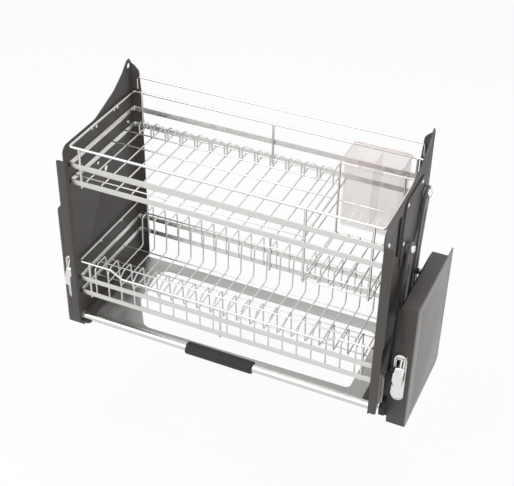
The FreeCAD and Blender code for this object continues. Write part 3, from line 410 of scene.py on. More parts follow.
def softened(node, width, material):
    """A copy of a CAD node with its sharp edges broken, which stands for it."""
    source = frame["nodes"][node]
    bm = bmesh.new()
    bm.from_mesh(source.data)
    bmesh.ops.remove_doubles(bm, verts=bm.verts, dist=SAME_SPOT)
    bmesh.ops.dissolve_limit(
        bm, angle_limit=NEARLY_FLAT, verts=bm.verts, edges=bm.edges, delimit={"NORMAL"}
    )
    rounded_edges(bm, sharp_edges(bm, SHARP), width, clamp=True)
    finished(node + "_edged", bm, material, source["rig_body"], [node], sharp=50)


# Node groups shared by the finishes

def feed(tree, value, socket):
    """Link a socket to another, or set it to a value."""
    if isinstance(value, bpy.types.NodeSocket):
        tree.links.new(value, socket)
    else:
        socket.default_value = value


def math_node(tree, kind, *values, clamp=False):
    """Math node whose inputs are sockets or numbers."""
    node = tree.nodes.new("ShaderNodeMath")
    node.operation = kind
    node.use_clamp = clamp
    for value, socket in zip(values, node.inputs):
        feed(tree, value, socket)
    return node.outputs[0]


def noise(tree, vector, scale, detail):
    """Noise along a vector."""
    node = tree.nodes.new("ShaderNodeTexNoise")
    node.inputs["Detail"].default_value = detail
    tree.links.new(vector, node.inputs["Vector"])
    feed(tree, scale, node.inputs["Scale"])
    return node.outputs["Fac"]


def object_spot(tree):
    """Coordinates of the piece's own object."""
    return tree.nodes.new("ShaderNodeTexCoord").outputs["Object"]


def new_group(name, inputs, outputs):
    """Empty shader group with named sockets."""
    group = bpy.data.node_groups.new(name, "ShaderNodeTree")
    for label, kind, value in inputs:
        socket = group.interface.new_socket(label, in_out="INPUT", socket_type=kind)
        socket.default_value = value
    for label in outputs:
        group.interface.new_socket(label, in_out="OUTPUT", socket_type="NodeSocketFloat")
    nodes = group.nodes
    return group, nodes.new("NodeGroupInput"), nodes.new("NodeGroupOutput")


def surface_grain():
    """Fine relief and slow mottling of a coated or moulded surface."""
    group, given, put = new_group(
        "surface_grain",
        [("Grain scale", "NodeSocketFloat", 900.0), ("Mottle scale", "NodeSocketFloat", 9.0)],
        ["Height", "Mottle", "Speck"],
    )
    where = object_spot(group)
    grain = noise(group, where, given.outputs["Grain scale"], 2.0)
    mottle = noise(group, where, given.outputs["Mottle scale"], 4.0)
    speck = group.nodes.new("ShaderNodeTexVoronoi")
    speck.feature = "F1"
    group.links.new(where, speck.inputs["Vector"])
    group.links.new(given.outputs["Grain scale"], speck.inputs["Scale"])
    group.links.new(grain, put.inputs["Height"])
    group.links.new(mottle, put.inputs["Mottle"])
    group.links.new(speck.outputs["Distance"], put.inputs["Speck"])


def drawn_lines():
    """Lines that rolling, drawing or polishing leaves along one direction."""
    group, given, put = new_group(
        "drawn_lines",
        [("Stretch", "NodeSocketVector", (6.0, 900.0, 900.0)),
         ("Smudge scale", "NodeSocketFloat", 30.0)],
        ["Lines", "Smudge"],
    )
    where = object_spot(group)
    stretch = group.nodes.new("ShaderNodeVectorMath")
    stretch.operation = "MULTIPLY"
    group.links.new(where, stretch.inputs[0])
    group.links.new(given.outputs["Stretch"], stretch.inputs[1])
    lines = noise(group, stretch.outputs["Vector"], 1.0, 3.0)
    smudge = noise(group, where, given.outputs["Smudge scale"], 3.0)
    group.links.new(lines, put.inputs["Lines"])
    group.links.new(smudge, put.inputs["Smudge"])


def edge_mask():
    """Mask of the outer edges, where the coat gets a painted highlight, broken into patches."""
    group, given, put = new_group(
        "edge_mask",
        [("Width", "NodeSocketFloat", 0.0012), ("Break-up", "NodeSocketFloat", 60.0)],
        ["Edge"],
    )
    bevel = group.nodes.new("ShaderNodeBevel")
    bevel.samples = 4
    group.links.new(given.outputs["Width"], bevel.inputs["Radius"])
    shape = group.nodes.new("ShaderNodeNewGeometry")
    dot = group.nodes.new("ShaderNodeVectorMath")
    dot.operation = "DOT_PRODUCT"
    group.links.new(bevel.outputs["Normal"], dot.inputs[0])
    group.links.new(shape.outputs["Normal"], dot.inputs[1])
    away = math_node(group, "SUBTRACT", 1.0, dot.outputs["Value"])
    strong = math_node(group, "MULTIPLY", away, 5.0, clamp=True)
    patches = noise(group, object_spot(group), given.outputs["Break-up"], 4.0)
    group.links.new(math_node(group, "MULTIPLY", strong, patches, clamp=True), put.inputs["Edge"])


def use_group(tree, maker, **values):
    """Place a shared group in a material, building it when first asked for."""
    if maker.__name__ not in bpy.data.node_groups:
        maker()
    node = tree.nodes.new("ShaderNodeGroup")
    node.node_tree = bpy.data.node_groups[maker.__name__]
    for label, value in values.items():
        node.inputs[label.replace("_", " ")].default_value = value
    return node


def new_material(name, **plain):
    """Material with its Principled shader and the constants set on the sockets."""
    if name in bpy.data.materials:
        return bpy.data.materials[name], None, None
    material = bpy.data.materials.new(name)
    material.use_nodes = True
    tree = material.node_tree
    shader = tree.nodes["Principled BSDF"]
    for label, value in plain.items():
        shader.inputs[label.replace("_", " ")].default_value = value
    return material, tree, shader


def blended(tree, mask, low, high):
    """Mix two colours by a mask."""
    mix = tree.nodes.new("ShaderNodeMix")
    mix.data_type = "RGBA"
    tree.links.new(mask, mix.inputs["Factor"])
    for label, value in (("A", low), ("B", high)):
        feed(tree, value, next(s for s in mix.inputs if s.name == label and s.type == "RGBA"))
    return next(s for s in mix.outputs if s.type == "RGBA")


def shade(colour, factor):
    """A colour made darker or lighter."""
    return (colour[0] * factor, colour[1] * factor, colour[2] * factor, 1.0)


def surfaced(tree, shader, mask, colour, tones, roughness, height, relief):
    """Vary colour and roughness by a mask, and raise a relief. Gives the colour."""
    tone = blended(tree, mask, shade(colour, tones[0]), shade(colour, tones[1]))
    tree.links.new(tone, shader.inputs["Base Color"])
    spread = tree.nodes.new("ShaderNodeMapRange")
    spread.inputs["From Min"].default_value = 0.3
    spread.inputs["From Max"].default_value = 0.7
    spread.inputs["To Min"].default_value = roughness[0]
    spread.inputs["To Max"].default_value = roughness[1]
    tree.links.new(mask, spread.inputs["Value"])
    tree.links.new(spread.outputs["Result"], shader.inputs["Roughness"])
    bump = tree.nodes.new("ShaderNodeBump")
    bump.inputs["Strength"].default_value = 1.0
    bump.inputs["Distance"].default_value = relief
    tree.links.new(height, bump.inputs["Height"])
    tree.links.new(bump.outputs["Normal"], shader.inputs["Normal"])
    return tone


# Finishes

def coated(name, colour, roughness):
    """Satin powder coat with a fine orange peel and a painted highlight along its edges."""
    material, tree, shader = new_material(name, IOR=1.4)
    if tree:
        grain = use_group(tree, surface_grain, Grain_scale=1300.0, Mottle_scale=6.0).outputs
        edge = use_group(tree, edge_mask, Width=0.0011).outputs["Edge"]
        coat = surfaced(
            tree, shader, grain["Mottle"], colour, (0.88, 1.12),
            (roughness - 0.05, roughness + 0.06), grain["Height"], 0.00006,
        )
        # Painted highlight: along the edges the coat is lightened to 1.9 times its colour
        edge_highlight = blended(tree, edge, coat, shade(colour, 1.9))
        tree.links.new(edge_highlight, shader.inputs["Base Color"])
    return material


def bright_metal(name, colour, roughness, stretch, relief=0.00002):
    """Drawn or polished metal with lines along its length and faint smudges."""
    material, tree, shader = new_material(name, Metallic=1.0)
    if tree:
        lines = use_group(tree, drawn_lines, Stretch=stretch).outputs
        surfaced(
            tree, shader, lines["Smudge"], colour, (0.94, 1.03),
            (roughness * 0.75, roughness * 1.3), lines["Lines"], relief,
        )
    return material


def moulded(name, colour, roughness, scale, relief):
    """Rubber, foam or nylon: a fine skin with pores."""
    material, tree, shader = new_material(name, IOR=1.45)
    if tree:
        grain = use_group(tree, surface_grain, Grain_scale=scale, Mottle_scale=20.0).outputs
        surfaced(
            tree, shader, grain["Mottle"], colour, (0.8, 1.3),
            (roughness - 0.06, roughness + 0.06), grain["Speck"], relief,
        )
    return material


def clear_plastic(name, tint, alpha):
    """Thin clear plastic that shows its tint where walls lie behind each other."""
    material, tree, shader = new_material(name, IOR=1.45, Alpha=alpha)
    if tree:
        grain = use_group(tree, surface_grain, Grain_scale=500.0, Mottle_scale=12.0).outputs
        surfaced(
            tree, shader, grain["Mottle"], tint, (0.95, 1.04), (0.05, 0.11),
            grain["Height"], 0.00001,
        )
    return material


def steel_wire():
    """Polished stainless wire and band."""
    return bright_metal("wire_steel", colours().steel, 0.3, (120.0, 120.0, 120.0), 0.000004)


def tube_steel():
    """Bright steel of the handle tube."""
    tone = shade(colours().steel, 0.95)
    return bright_metal("tube_steel", tone, 0.2, (6.0, 400.0, 400.0), 0.000002)


def tray_steel():
    """Duller steel of the bottom plate."""
    tone = shade(colours().steel, 0.62)
    return bright_metal("tray_steel", tone, 0.42, (4.0, 900.0, 900.0), 0.00001)


def chrome():
    """Chrome of the adjusters and the domed heads."""
    return bright_metal("polished_chrome", colours().chrome, 0.07, (300.0, 300.0, 300.0), 0.000008)


def pin_steel():
    """Plain steel of pins, shafts and springs."""
    return bright_metal("pin_steel", shade(colours().steel, 0.8), 0.3, (60.0, 900.0, 900.0))


def zinc():
    """Zinc plate of the blades and bearing plates."""
    return bright_metal("zinc_plate", shade(colours().steel, 0.5), 0.45, (200.0, 200.0, 200.0))


def dark_paint():
    """Dark grey coat of the panels and housings."""
    return coated("dark_grey_coat", colours().paint, 0.46)


def arm_paint():
    """Lighter coat of the arms."""
    return coated("mid_grey_coat", colours().arms, 0.38)


def plate_paint():
    """Light grey coat of the mounting plates."""
    return coated("light_grey_coat", colours().plate, 0.4)


def foam():
    """Foam of the grip."""
    return moulded("grip_foam", shade(colours().rubber, 1.35), 0.66, 1500.0, 0.00025)


def rubber():
    """Rubber of strips, feet and sleeves."""
    return moulded("soft_rubber", colours().rubber, 0.6, 2200.0, 0.00008)


def nylon():
    """Nylon of plugs, pegs, washers and dampers."""
    return moulded("pale_nylon", (0.42, 0.42, 0.4), 0.45, 1800.0, 0.00004)


def smoky_plastic():
    """Clear moulded plastic with a warm smoky tint."""
    return clear_plastic("clear_tub", colours().tub, 0.18)


def rim_plastic():
    """The same plastic where the rim is thick."""
    return clear_plastic("clear_tub_rim", shade(colours().tub, 1.15), 0.5)


def finish_node(node, material):
    """Give a CAD node that stays its finish."""
    mesh = frame["nodes"][node].data
    mesh.materials.clear()
    mesh.materials.append(material)


# Settings

def length_setting(name, about, default):
    """A length that the user can change."""
    return bpy.props.FloatProperty(name=name, description=about, default=default, unit="LENGTH")


def colour_setting(name, about, default):
    """A colour that the user can change."""
    return bpy.props.FloatVectorProperty(
        name=name, description=about, default=default, subtype="COLOR"
    )


class DishRackSizes(bpy.types.PropertyGroup):
    """Sizes of the wires, the bands and the grip"""
    wire: length_setting("Wire radius", "Radius of the basket wires", 0.0015)
    rim: length_setting("Rim radius", "Radius of the rims and posts", 0.0025)
    band: length_setting("Band height", "Height of the flat bands", 0.0115)
    bend: length_setting("Bend radius", "Radius that the wires are bent on", 0.006)
    rack_count: bpy.props.IntProperty(
        name="Rack wires", description="How many bent wires stand in the row", default=20
    )
    rack_pitch: length_setting("Rack pitch", "Distance between rack wires", 0.0295)
    grip: length_setting("Grip radius", "Radius of the handle grip", 0.013)
    edge: length_setting("Broken edge", "Width of the broken edges of sheet parts", 0.0003)


class DishRackColours(bpy.types.PropertyGroup):
    """Colours of the finishes"""
    paint: colour_setting("Dark coat", "Side panels and housings", (0.064, 0.058, 0.054))
    arms: colour_setting("Arm coat", "Swing arms", (0.12, 0.112, 0.105))
    plate: colour_setting("Light coat", "Mounting plates", (0.19, 0.182, 0.175))
    steel: colour_setting("Steel", "Wires, bands and tube", (0.7, 0.69, 0.675))
    chrome: colour_setting("Chrome", "Adjusters and pin heads", (0.76, 0.755, 0.745))
    rubber: colour_setting("Rubber", "Grip, strips and sleeves", (0.017, 0.016, 0.0155))
    tub: colour_setting("Tub tint", "Lift-out box", (0.74, 0.665, 0.64))


# Pieces

def band_ring(bm, low):
    """Flat steel band bent round the basket."""
    loops = []
    for shrink in (0.0, BAND_T):
        front = place(PANEL_IN - shrink, FRONT_Y + shrink, low)
        back = place(PANEL_IN - shrink, BACK_Y - shrink, low)
        verts = bmesh.ops.create_grid(bm, x_segments=1, y_segments=1, size=1.0)["verts"]
        bmesh.ops.scale(bm, verts=verts, vec=(front.x, (back.y - front.y) / 2, 1.0))
        bmesh.ops.translate(bm, verts=verts, vec=(0, (front.y + back.y) / 2, front.z))
        corners = bmesh.ops.bevel(
            bm, geom=verts, affect="VERTICES", offset=(BAND_CORNER - shrink) * MM, segments=4,
            profile=0.5, material=-1,
        )
        faces = dict.fromkeys(f for v in corners["verts"] for f in v.link_faces)
        bmesh.ops.delete(bm, geom=list(faces), context="FACES_ONLY")
        loops += [e for e in bm.edges if not e.link_faces and e not in loops]
    out = bmesh.ops.bridge_loops(bm, edges=loops)
    out = bmesh.ops.extrude_face_region(bm, geom=out["faces"])
    bmesh.ops.translate(bm, verts=verts_of(out), vec=(0, 0, sizes().band))


def band_pair(lows):
    """The two bands of a basket, with their edges broken."""
    bm = bmesh.new()
    for low in lows:
        one = bmesh.new()
        band_ring(one, low)
        bmesh.ops.recalc_face_normals(one, faces=one.faces)
        rounded_edges(one, sharp_edges(one, SQUARE), BAND_EDGE * MM)
        joined(bm, one)
    return bm


def post(bm, x, y, low, high):
    """Upright rod of a basket frame."""
    rounded_rod(bm, place(x, y, low), place(x, y, high), sizes().rim)


def crosswire(bm, x0, x1, y, z, radius):
    """Straight rod along the width."""
    rounded_rod(bm, place(x0, y, z), place(x1, y, z), radius)


def deepwire(bm, x, y0, y1, z, radius):
    """Straight rod along the depth."""
    rounded_rod(bm, place(x, y0, z), place(x, y1, z), radius)


def side_pegs(bm, z):
    """Pegs that hold a rim to the side panels."""
    third = (BACK_Y - FRONT_Y) / 3
    for y in (FRONT_Y + third, FRONT_Y + 2 * third):
        for side in (-1, 1):
            crosswire(bm, side * (PANEL_IN - PEG_REACH), side * PANEL_IN, y, z, sizes().rim)


def wire_piece(name, bm, node):
    """Finish a piece of the baskets, which the carriage carries."""
    finished(name, bm, steel_wire(), "carriage", [node])


class DISHRACK_OT_upper_frame(bpy.types.Operator):
    """Rim, bands, posts and pegs of the upper basket"""
    bl_idname = "dish_rack.upper_frame"
    bl_label = "Upper basket frame"

    def execute(self, context):
        bm = band_pair(UPPER_BANDS)
        x = PANEL_IN - RIM_INSET
        y0 = UPPER_RIM_Y
        y1 = BACK_Y - RIM_BACK
        loop = [(-x, y0), (x, y0), (x, y1), (-x, y1)]
        rim = bmesh.new()
        wire(rim, [place(*p, UPPER_RIM_Z) for p in loop], sizes().rim, 0.005, closed=True)
        joined(bm, rim)
        foot = UPPER_BANDS[1] - POST_FOOT
        hung = HANG_Z - 4
        for x, low in ((-POST_X, foot), (POST_X, hung), (HANG_X, hung)):
            post(bm, x, FRONT_Y + POST_INSET, low, UPPER_RIM_Z)
        for x in (-POST_X, 0, POST_X):
            post(bm, x, BACK_Y - POST_INSET, foot, UPPER_RIM_Z)
        side_pegs(bm, UPPER_PEG_Z)
        wire_piece("upper_frame_wires", bm, "upper_basket_frame")
        return {"FINISHED"}


class DISHRACK_OT_lower_frame(bpy.types.Operator):
    """Dipped rim, bands, posts and pegs of the lower basket"""
    bl_idname = "dish_rack.lower_frame"
    bl_label = "Lower basket frame"

    def execute(self, context):
        bm = band_pair(LOWER_BANDS)
        x = PANEL_IN - RIM_INSET
        y0 = LOWER_RIM_Y
        y1 = BACK_Y - RIM_BACK
        low, high = DIP_XS
        loop = [(-x, y1, LOWER_RIM_Z), (-x, y0, LOWER_RIM_Z), (-high, y0, LOWER_RIM_Z),
                (-low, y0, DIP_Z), (low, y0, DIP_Z), (high, y0, LOWER_RIM_Z),
                (x, y0, LOWER_RIM_Z), (x, y1, LOWER_RIM_Z)]
        rim = bmesh.new()
        wire(rim, [place(*p) for p in loop], sizes().rim * 0.88, 0.006, closed=True)
        joined(bm, rim)
        foot = LOWER_BANDS[1] - POST_FOOT
        for x in (-POST_X, 0, POST_X):
            post(bm, x, FRONT_Y + POST_INSET, foot, LOWER_RIM_Z if x else DIP_Z)
            post(bm, x, BACK_Y - POST_INSET, foot, LOWER_RIM_Z)
        side_pegs(bm, LOWER_PEG_Z)
        wire_piece("lower_frame_wires", bm, "lower_basket_frame")
        return {"FINISHED"}


class DISHRACK_OT_plate_rack(bpy.types.Operator):
    """Row of bent wires that stand up at the front and the back"""
    bl_idname = "dish_rack.plate_rack"
    bl_label = "Plate rack"

    def execute(self, context):
        s = sizes()
        front = FRONT_Y + BAND_T + 1.5
        back = BACK_Y - BAND_T - 1.5
        low = LOWER_BANDS[1] + 3
        pitch = s.rack_pitch / MM
        start = -(s.rack_count - 1) / 2 * pitch
        path = [(front, low), (front, RACK_TOP_Z - 8), (front + 14, RACK_TOP_Z),
                (56, RACK_TOP_Z), (60, RACK_FLOOR_Z), (206, RACK_FLOOR_Z), (210, RACK_TOP_Z),
                (back, RACK_TOP_Z), (back, low)]
        bm = bmesh.new()
        wire(bm, [place(start, y, z) for y, z in path], s.wire, s.bend * 0.9)
        repeated(bm, s.rack_pitch, s.rack_count)
        end = -start + 3
        for y in RACK_TOP_YS:
            crosswire(bm, -end, end, y, RACK_TOP_Z + 2.5, s.wire)
        side = PANEL_IN - BAND_T
        for y in RACK_FLOOR_YS:
            crosswire(bm, -side, side, y, RACK_FLOOR_Z - 2.5, s.wire)
        across = [start + pitch * i for i in range(s.rack_count)]
        spots = [place(x, y, RACK_TOP_Z + 1.3) for x in across for y in RACK_TOP_YS]
        spots += [place(x, y, RACK_FLOOR_Z - 1.3) for x in across for y in RACK_FLOOR_YS]
        welds(bm, spots)
        wire_piece("plate_rack_wires", bm, "plate_rack")
        return {"FINISHED"}


class DISHRACK_OT_upper_floor(bpy.types.Operator):
    """Floor wires of the upper basket with their row of arches"""
    bl_idname = "dish_rack.upper_floor"
    bl_label = "Upper basket floor"

    def execute(self, context):
        thin = sizes().wire
        y0 = FRONT_Y + BAND_T
        y1 = BACK_Y - BAND_T
        bm = bmesh.new()
        deepwire(bm, FLOOR_START, y0, y1, FLOOR_Z, thin)
        repeated(bm, FLOOR_PITCH * MM, FLOOR_COUNT)
        edge = HANG_X - 4.6
        for y in FLOOR_YS:
            crosswire(bm, -PANEL_IN + 1.6, edge + 1, y, FLOOR_Z + 2.5, thin)
        deepwire(bm, edge, y0, y1, FLOOR_Z, thin + 0.0005)
        middle = FLOOR_START + FLOOR_PITCH / 2
        left = middle - ARCH_HALF
        right = middle + ARCH_HALF
        arch = [(left, ARCH_LOW), (left, ARCH_TOP), (right, ARCH_TOP), (right, ARCH_LOW)]
        arches = bmesh.new()
        wire(arches, [place(x, ARCH_Y, z) for x, z in arch], thin, 0.0132)
        repeated(arches, FLOOR_PITCH * MM, FLOOR_COUNT - 1)
        joined(bm, arches)
        across = [FLOOR_START + FLOOR_PITCH * i for i in range(FLOOR_COUNT)]
        welds(bm, [place(x, y, FLOOR_Z + 1.3) for x in across for y in FLOOR_YS])
        wire_piece("upper_floor_wires", bm, "upper_basket_floor")
        return {"FINISHED"}


class DISHRACK_OT_hanging_section(bpy.types.Operator):
    """Deep wire tray for tall things"""
    bl_idname = "dish_rack.hanging_section"
    bl_label = "Hanging section"

    def execute(self, context):
        thin = sizes().wire
        bm = bmesh.new()
        x0 = HANG_X
        x1 = POST_X
        y0 = HANG_FRONT_Y
        for x in (x0, x1):
            low = place(x, HANG_Y, HANG_Z - 4)
            rounded_rod(bm, low, place(x, HANG_Y, UPPER_RIM_Z + 3), thin + 0.0005)
        for y in (y0, 41, HANG_Y - 3.5):
            crosswire(bm, x0 - 3, x1 + 3, y, HANG_Z, thin + 0.0003)
        step = (x1 - x0 - 8) / (HANG_WIRES - 1)
        for i in range(HANG_WIRES):
            deepwire(bm, x0 + 4 + step * i, y0 - 2, HANG_Y - 2, HANG_Z + 2.8, thin)
        for x in (x0 - 3, x1 + 3):
            deepwire(bm, x, y0, HANG_Y + 1, HANG_Z - 2.6, thin)
        crosswire(bm, x0 - 2, x1 + 2, HANG_Y - 3, HANG_MIDDLE_Z, thin)
        crosswire(bm, x0 - 2, PANEL_IN - 3.5, HANG_Y - 3, UPPER_RIM_Z + 0.3, thin)
        for z in (HANG_MIDDLE_Z, UPPER_RIM_Z):
            deepwire(bm, x0 + 1.6, y0 - 2, HANG_Y, z, thin)
        wire_piece("hanging_wires", bm, "hanging_section")
        return {"FINISHED"}


class DISHRACK_OT_guard_rail(bpy.types.Operator):
    """Rail over the back"""
    bl_idname = "dish_rack.guard_rail"
    bl_label = "Guard rail"

    def execute(self, context):
        low = RAIL_Z - RAIL_LEG
        bow = [(-RAIL_X, low), (-RAIL_X, RAIL_Z), (RAIL_X, RAIL_Z), (RAIL_X, low)]
        bm = bmesh.new()
        wire(bm, [place(x, RAIL_Y, z) for x, z in bow], 0.002, 0.006)
        wire_piece("guard_rail_wire", bm, "guard_rail")
        return {"FINISHED"}


class DISHRACK_OT_handle(bpy.types.Operator):
    """Handle tube with its foam grip"""
    bl_idname = "dish_rack.handle"
    bl_label = "Handle"

    def execute(self, context):
        end = [(-TUBE_HALF, TUBE_BORE), (-TUBE_HALF, TUBE_R - 0.2), (0.2 - TUBE_HALF, TUBE_R)]
        wall = end + [(-a, r) for a, r in reversed(end)] + end[:1]
        tube = bmesh.new()
        turned_part(tube, 0, 1, *TUBE, wall, 48)
        finished("tube_bar", tube, tube_steel(), "carriage", ["handle_tube"])
        radius = sizes().grip / MM
        length = GRIP[1] - GRIP[0]
        end = [(0.0, GRIP_BORE), (0.0, radius - 2.8), (0.8, radius - 1.0), (2.8, radius)]
        sleeve = end + [(length - a, r) for a, r in reversed(end)] + end[:1]
        grip = bmesh.new()
        turned_part(grip, GRIP[0], 1, *TUBE, sleeve, 48)
        finished("grip_sleeve", grip, foam(), "carriage", ["handle_grip"])
        return {"FINISHED"}


class DISHRACK_OT_fasteners(bpy.types.Operator):
    """Screws, rivets and pivot pins with domed heads"""
    bl_idname = "dish_rack.fasteners"
    bl_label = "Screws, rivets and pins"

    def execute(self, context):
        screws = bmesh.new()
        for (y, z), tip in [(TUBE, -11.5)] + [(spot, -5.0) for spot in SCREWS]:
            shank = [(tip, 0), (tip, 2.1), (tip + 0.3, 2.4)]
            turned_part(screws, PANEL_OUT, 1, y, z, shank + DOME)
        mirrored(screws)
        finished(
            "panel_screw_heads", screws, chrome(), "carriage", ["panel_screws"]
        )
        rivets = bmesh.new()
        for y, z in RIVETS:
            turned_part(rivets, BRACKET_OUT, 1, y, z, RIVET, 20)
        mirrored(rivets)
        finished("rivet_domes", rivets, chrome(), "carriage", ["bracket_rivets"])
        pins = bmesh.new()
        turned_part(pins, ARM_OUT, 1, *REAR_HIGH, REAR_SHANK + PIN_CAP, 32)
        turned_part(pins, ARM_OUT, 1, *FRONT_HIGH, FRONT_SHANK + PIN_CAP, 32)
        mirrored(pins)
        finished("pivot_caps", pins, chrome(), "carriage", ["upper_pivot_pins"])
        small = bmesh.new()
        for y, z in COVER_SCREWS:
            turned_part(small, HOUSING_IN, -1, y, z, COVER_SCREW, 20)
        mirrored(small)
        finished(
            "cover_screw_heads", small, pin_steel(), "wall_frame", ["cover_screws"],
        )
        return {"FINISHED"}


class DISHRACK_OT_sheet_parts(bpy.types.Operator):
    """Panels, brackets, arms, housings and plates with their edges broken"""
    bl_idname = "dish_rack.sheet_parts"
    bl_label = "Sheet parts"

    def execute(self, context):
        edge = sizes().edge
        for name, finish, slot in (
            ("side_panel", dark_paint, "dark_grey_paint"),
            ("housing_cover", dark_paint, "dark_grey_paint"),
            ("arm_guard", dark_paint, "dark_grey_paint"),
            ("hinge_bracket", dark_paint, "dark_grey_paint"),
            ("rear_arm", arm_paint, "dark_grey_paint"),
            ("front_arm", arm_paint, "dark_grey_paint"),
            ("mount_plate", plate_paint, "light_grey_paint"),
            # Buffer strips: black rubber laid over a dark slot in the bracket, so their black is
            # partly painted shade of that slot
            ("buffer_strip", rubber, "black_rubber"),
            ("corner_bumper", rubber, "black_rubber"),
        ):
            for side in ("_right", "_left"):
                softened(name + side, edge, finish())
        softened("bottom_plate", edge, tray_steel())
        return {"FINISHED"}


class DISHRACK_OT_latches(bpy.types.Operator):
    """Lipped blades behind the front flanges, and the studs at the foot"""
    bl_idname = "dish_rack.latches"
    bl_label = "Latch blades and studs"

    def execute(self, context):
        blades = bmesh.new()
        edged_block(blades, BLADE, ARM_OUT - 2, ARM_OUT, 0.5)
        edged_block(blades, BLADE_WEB, PANEL_OUT, ARM_OUT - 0.5, 0.3)
        edged_block(blades, BLADE_LIP, 28, 29.6, 0.3, along_y=True)
        mirrored(blades)
        nodes = ["latch_blade_right", "latch_blade_left"]
        finished("latch_blades", blades, zinc(), "carriage", nodes)
        studs = bmesh.new()
        for x in STUD_XS:
            rounded_rod(studs, place(x, 1.5, STUD_Z), place(x, 14, STUD_Z), 0.0034, 20)
        finished("bumper_studs", studs, pin_steel(), "carriage", ["bumper_bolts"])
        return {"FINISHED"}


class DISHRACK_OT_adjusters(bpy.types.Operator):
    """Chrome force adjusters with their levers"""
    bl_idname = "dish_rack.adjusters"
    bl_label = "Force adjusters"

    def execute(self, context):
        for out, side, body in ((1, "_right", "right_lever"), (-1, "_left", "left_lever")):
            softened("adjuster_bezel" + side, 0.0006, chrome())
            bm = bmesh.new()
            for outline, low, high, round_by in (
                (CHEEK, -9.4, -7.4, 0.6),
                (CHEEK, -1.0, 3.4, 0.9),
                (CHEEK, 5.2, 9.4, 0.9),
                (THUMB, -10.6, 10.6, 2.0),
            ):
                edged_block(bm, outline, LEVER_X + low, LEVER_X + high, round_by)
            turned_part(bm, LEVER_X, 1, *LEVER_AXLE, AXLE, 16)
            bmesh.ops.scale(bm, verts=bm.verts, vec=(out, 1, 1))
            nodes = ["adjuster_lever" + side]
            finished("thumb_lever" + side, bm, chrome(), body, nodes)
        return {"FINISHED"}


class DISHRACK_OT_cutlery_box(bpy.types.Operator):
    """Clear lift-out box with a rolled rim"""
    bl_idname = "dish_rack.cutlery_box"
    bl_label = "Cutlery box"

    def execute(self, context):
        softened("cutlery_box", 0.0004, smoky_plastic())
        rim = bmesh.new()
        wire(rim, [place(x, y, BOX_RIM_Z) for x, y in BOX_RIM], 0.0016, 0.007, closed=True)
        finished("cutlery_box_rim", rim, rim_plastic(), "cutlery_tub", [])
        return {"FINISHED"}


class DISHRACK_OT_finishes(bpy.types.Operator):
    """Finishes of the parts inside the housings and of those that keep their CAD form"""
    bl_idname = "dish_rack.finishes"
    bl_label = "Finishes"

    def execute(self, context):
        pairs = {"bearing_plate": zinc, "drive_shaft": pin_steel, "damper": nylon}
        singles = {
            "handle_plugs": nylon, "lower_pivot_pins": pin_steel, "stop_pins": pin_steel,
            "stop_sleeves": rubber, "spring_pegs": nylon, "torsion_springs": pin_steel,
            "adjuster_springs": pin_steel, "pivot_washers": nylon,
        }
        for name, finish in pairs.items():
            for side in ("_right", "_left"):
                finish_node(name + side, finish())
        for name, finish in singles.items():
            finish_node(name, finish())
        return {"FINISHED"}


def bare_view(tree):
    """Mask of the rays that come from the camera, off gloss or through clear plastic."""
    path = tree.nodes.new("ShaderNodeLightPath").outputs
    seen = math_node(tree, "MAXIMUM", path["Is Camera Ray"], path["Is Glossy Ray"])
    return math_node(tree, "MAXIMUM", seen, path["Is Transmission Ray"])


def mixed(tree, share, first, second, out):
    """Mix two shaders into an output."""
    mix = tree.nodes.new("ShaderNodeMixShader")
    tree.links.new(share, mix.inputs[0])
    tree.links.new(first.outputs[0], mix.inputs[1])
    tree.links.new(second.outputs[0], mix.inputs[2])
    tree.links.new(mix.outputs[0], out.inputs["Surface"])


def grey(level):
    """A grey as a colour."""
    return (level, level, level, 1.0)


